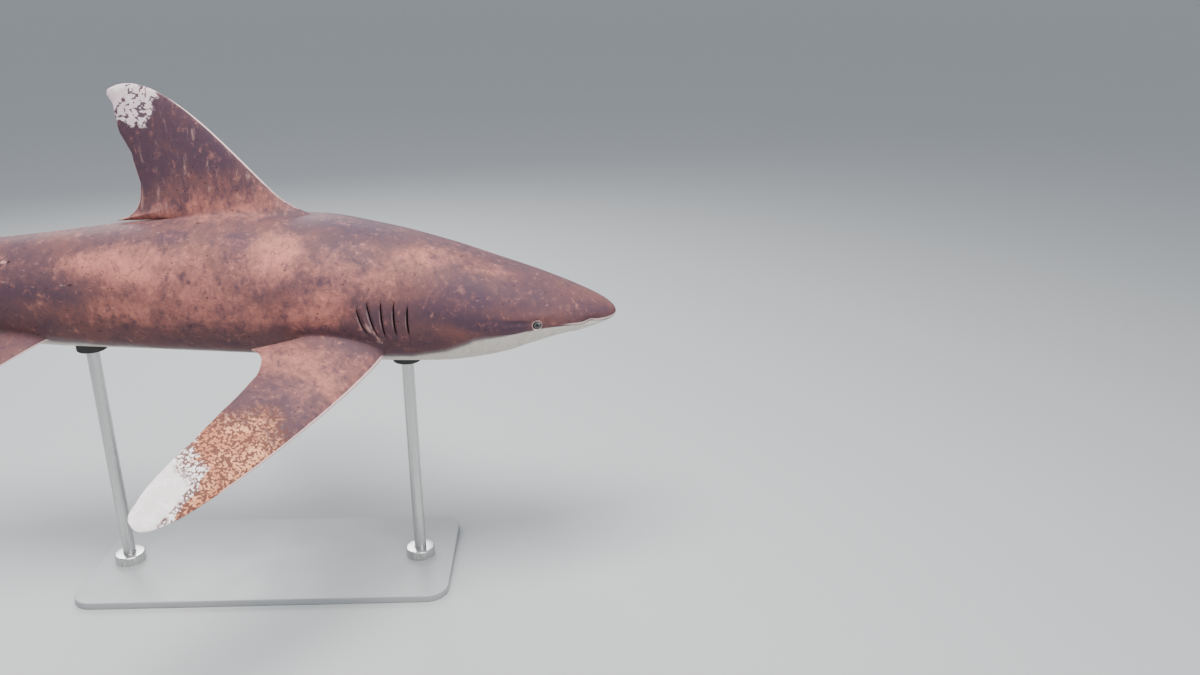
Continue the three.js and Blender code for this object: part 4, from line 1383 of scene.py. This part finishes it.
def belly_pad(place, x, material):
    """A round pad whose crown is pressed to the shape of the belly."""
    low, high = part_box(f"stand_pad_{place}")
    outer, edge, base = (high.x - low.x) / 2, low.z + PAD["round"], low.z + PAD["high"]
    foot = [(radius, low.z + edge - z) for radius, z in rounded(outer, edge, PAD["round"])][::-1]
    rings = [(outer, edge + i * PAD["step"]) for i in range(1, 4)]
    crown = [(outer * (1 - i / PAD["rings"]), base) for i in range(PAD["rings"] + 1)]
    bm = spun(x, [(0, low.z), *foot, *rings, *crown])
    for vert in bm.verts:
        rise = min(max((vert.co.z - edge) / (base - edge), 0), 1)
        vert.co.z += rise * (belly_height(vert.co.x, vert.co.y) + PAD["sunk"] - base)
    edged_piece(f"pad_{place}", bm, material, "stand_pad", f"stand_pad_{place}")


def grub_screw(name, middle, material):
    """A small socket screw in the side of a collar."""
    bm = bmesh.new()
    radius = SCREW["radius"]
    bmesh.ops.create_cone(bm, cap_ends=True, segments=24, radius1=radius, radius2=radius, depth=SCREW["long"])
    cap = max(bm.faces, key=lambda face: face.calc_center_median().z)
    bmesh.ops.inset_region(bm, faces=[cap], thickness=SCREW["wall"], use_even_offset=True)
    bmesh.ops.translate(bm, vec=(0, 0, -SCREW["socket"]), verts=cap.verts[:])
    turn = Matrix.Rotation(math.pi / 2, 4, "X")
    bmesh.ops.transform(bm, matrix=Matrix.Translation(middle) @ turn, verts=bm.verts[:])
    edged_piece(name, bm, material, "stand_steel")


shark_skin()
eye_gloss = eye_finish()
eyeball("left", 1, eye_gloss)
eyeball("right", -1, eye_gloss)
base_plate(paint_finish())
steel, rubber = steel_finish(), rubber_finish()
rod("front", steel, rubber)
rod("rear", steel, rubber)


# ---- Stage, light and camera ----
STUDIO = {"floor_radius": 90, "paper": (0.40, 0.41, 0.42), "room": (0.86, 0.92, 1, 1), "room_light": 0.7}
# Place, aim, size, power and tint of each soft light.
LIGHTS = {
    "overhead": ((0.3, -0.8, 3.4), (0, 0, 0.6), (2.4, 1.4), 230, (1, 0.97, 0.93)),
    "front": ((2.6, -3.0, 1.7), (0.2, 0, 0.5), (1.8, 1.8), 45, (1, 1, 1)),
    "behind": ((-1.2, 2.8, 2.6), (-0.2, 0, 0.6), (2.4, 1.2), 130, (1, 1, 1)),
}
CAMERA = {"place": (0.6585, -2.0103, 1.2714), "yaw": 0.039, "down": math.radians(20)}
LENS = {"lens": 30, "sensor_width": 36, "clip_end": 300}


def studio():
    bm = bmesh.new()
    bmesh.ops.create_circle(bm, cap_ends=True, segments=64, radius=STUDIO["floor_radius"])
    floor = shown("studio_floor", mesh_from("studio_floor", bm))
    floor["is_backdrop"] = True
    paper = Finish("studio_paper")
    floor.data.materials.append(paper.finish(Base_Color=STUDIO["paper"], Roughness=0.9))
    world = bpy.data.worlds.new("soft_room")
    world.use_nodes = True
    room = world.node_tree.nodes["Background"]
    room.inputs["Color"].default_value = STUDIO["room"]
    room.inputs["Strength"].default_value = STUDIO["room_light"]
    bpy.context.scene.world = world


def looking(made, place, forward):
    """Sets a lamp or camera at a place, facing that way."""
    made.location = place
    made.rotation_euler = forward.to_track_quat("-Z", "Y").to_euler()


def soft_light(name, place, aim, size, power, tint):
    light = bpy.data.lights.new(name, "AREA")
    light.shape, light.size, light.size_y = "RECTANGLE", size[0], size[1]
    light.energy, light.color = power, tint
    looking(shown(name, light), place, Vector(aim) - Vector(place))


def camera():
    lens = bpy.data.cameras.new("view")
    for name, value in LENS.items():
        setattr(lens, name, value)
    view = shown("view", lens)
    yaw, down = CAMERA["yaw"], CAMERA["down"]
    forward = Vector((math.sin(yaw) * math.cos(down), math.cos(yaw) * math.cos(down), -math.sin(down)))
    looking(view, CAMERA["place"], forward)
    bpy.context.scene.camera = view


studio()
for name, light in LIGHTS.items():
    soft_light(name, *light)
camera()

boxes = [[list(map(float, corner)) for corner in box] for box in (cad_box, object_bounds())]
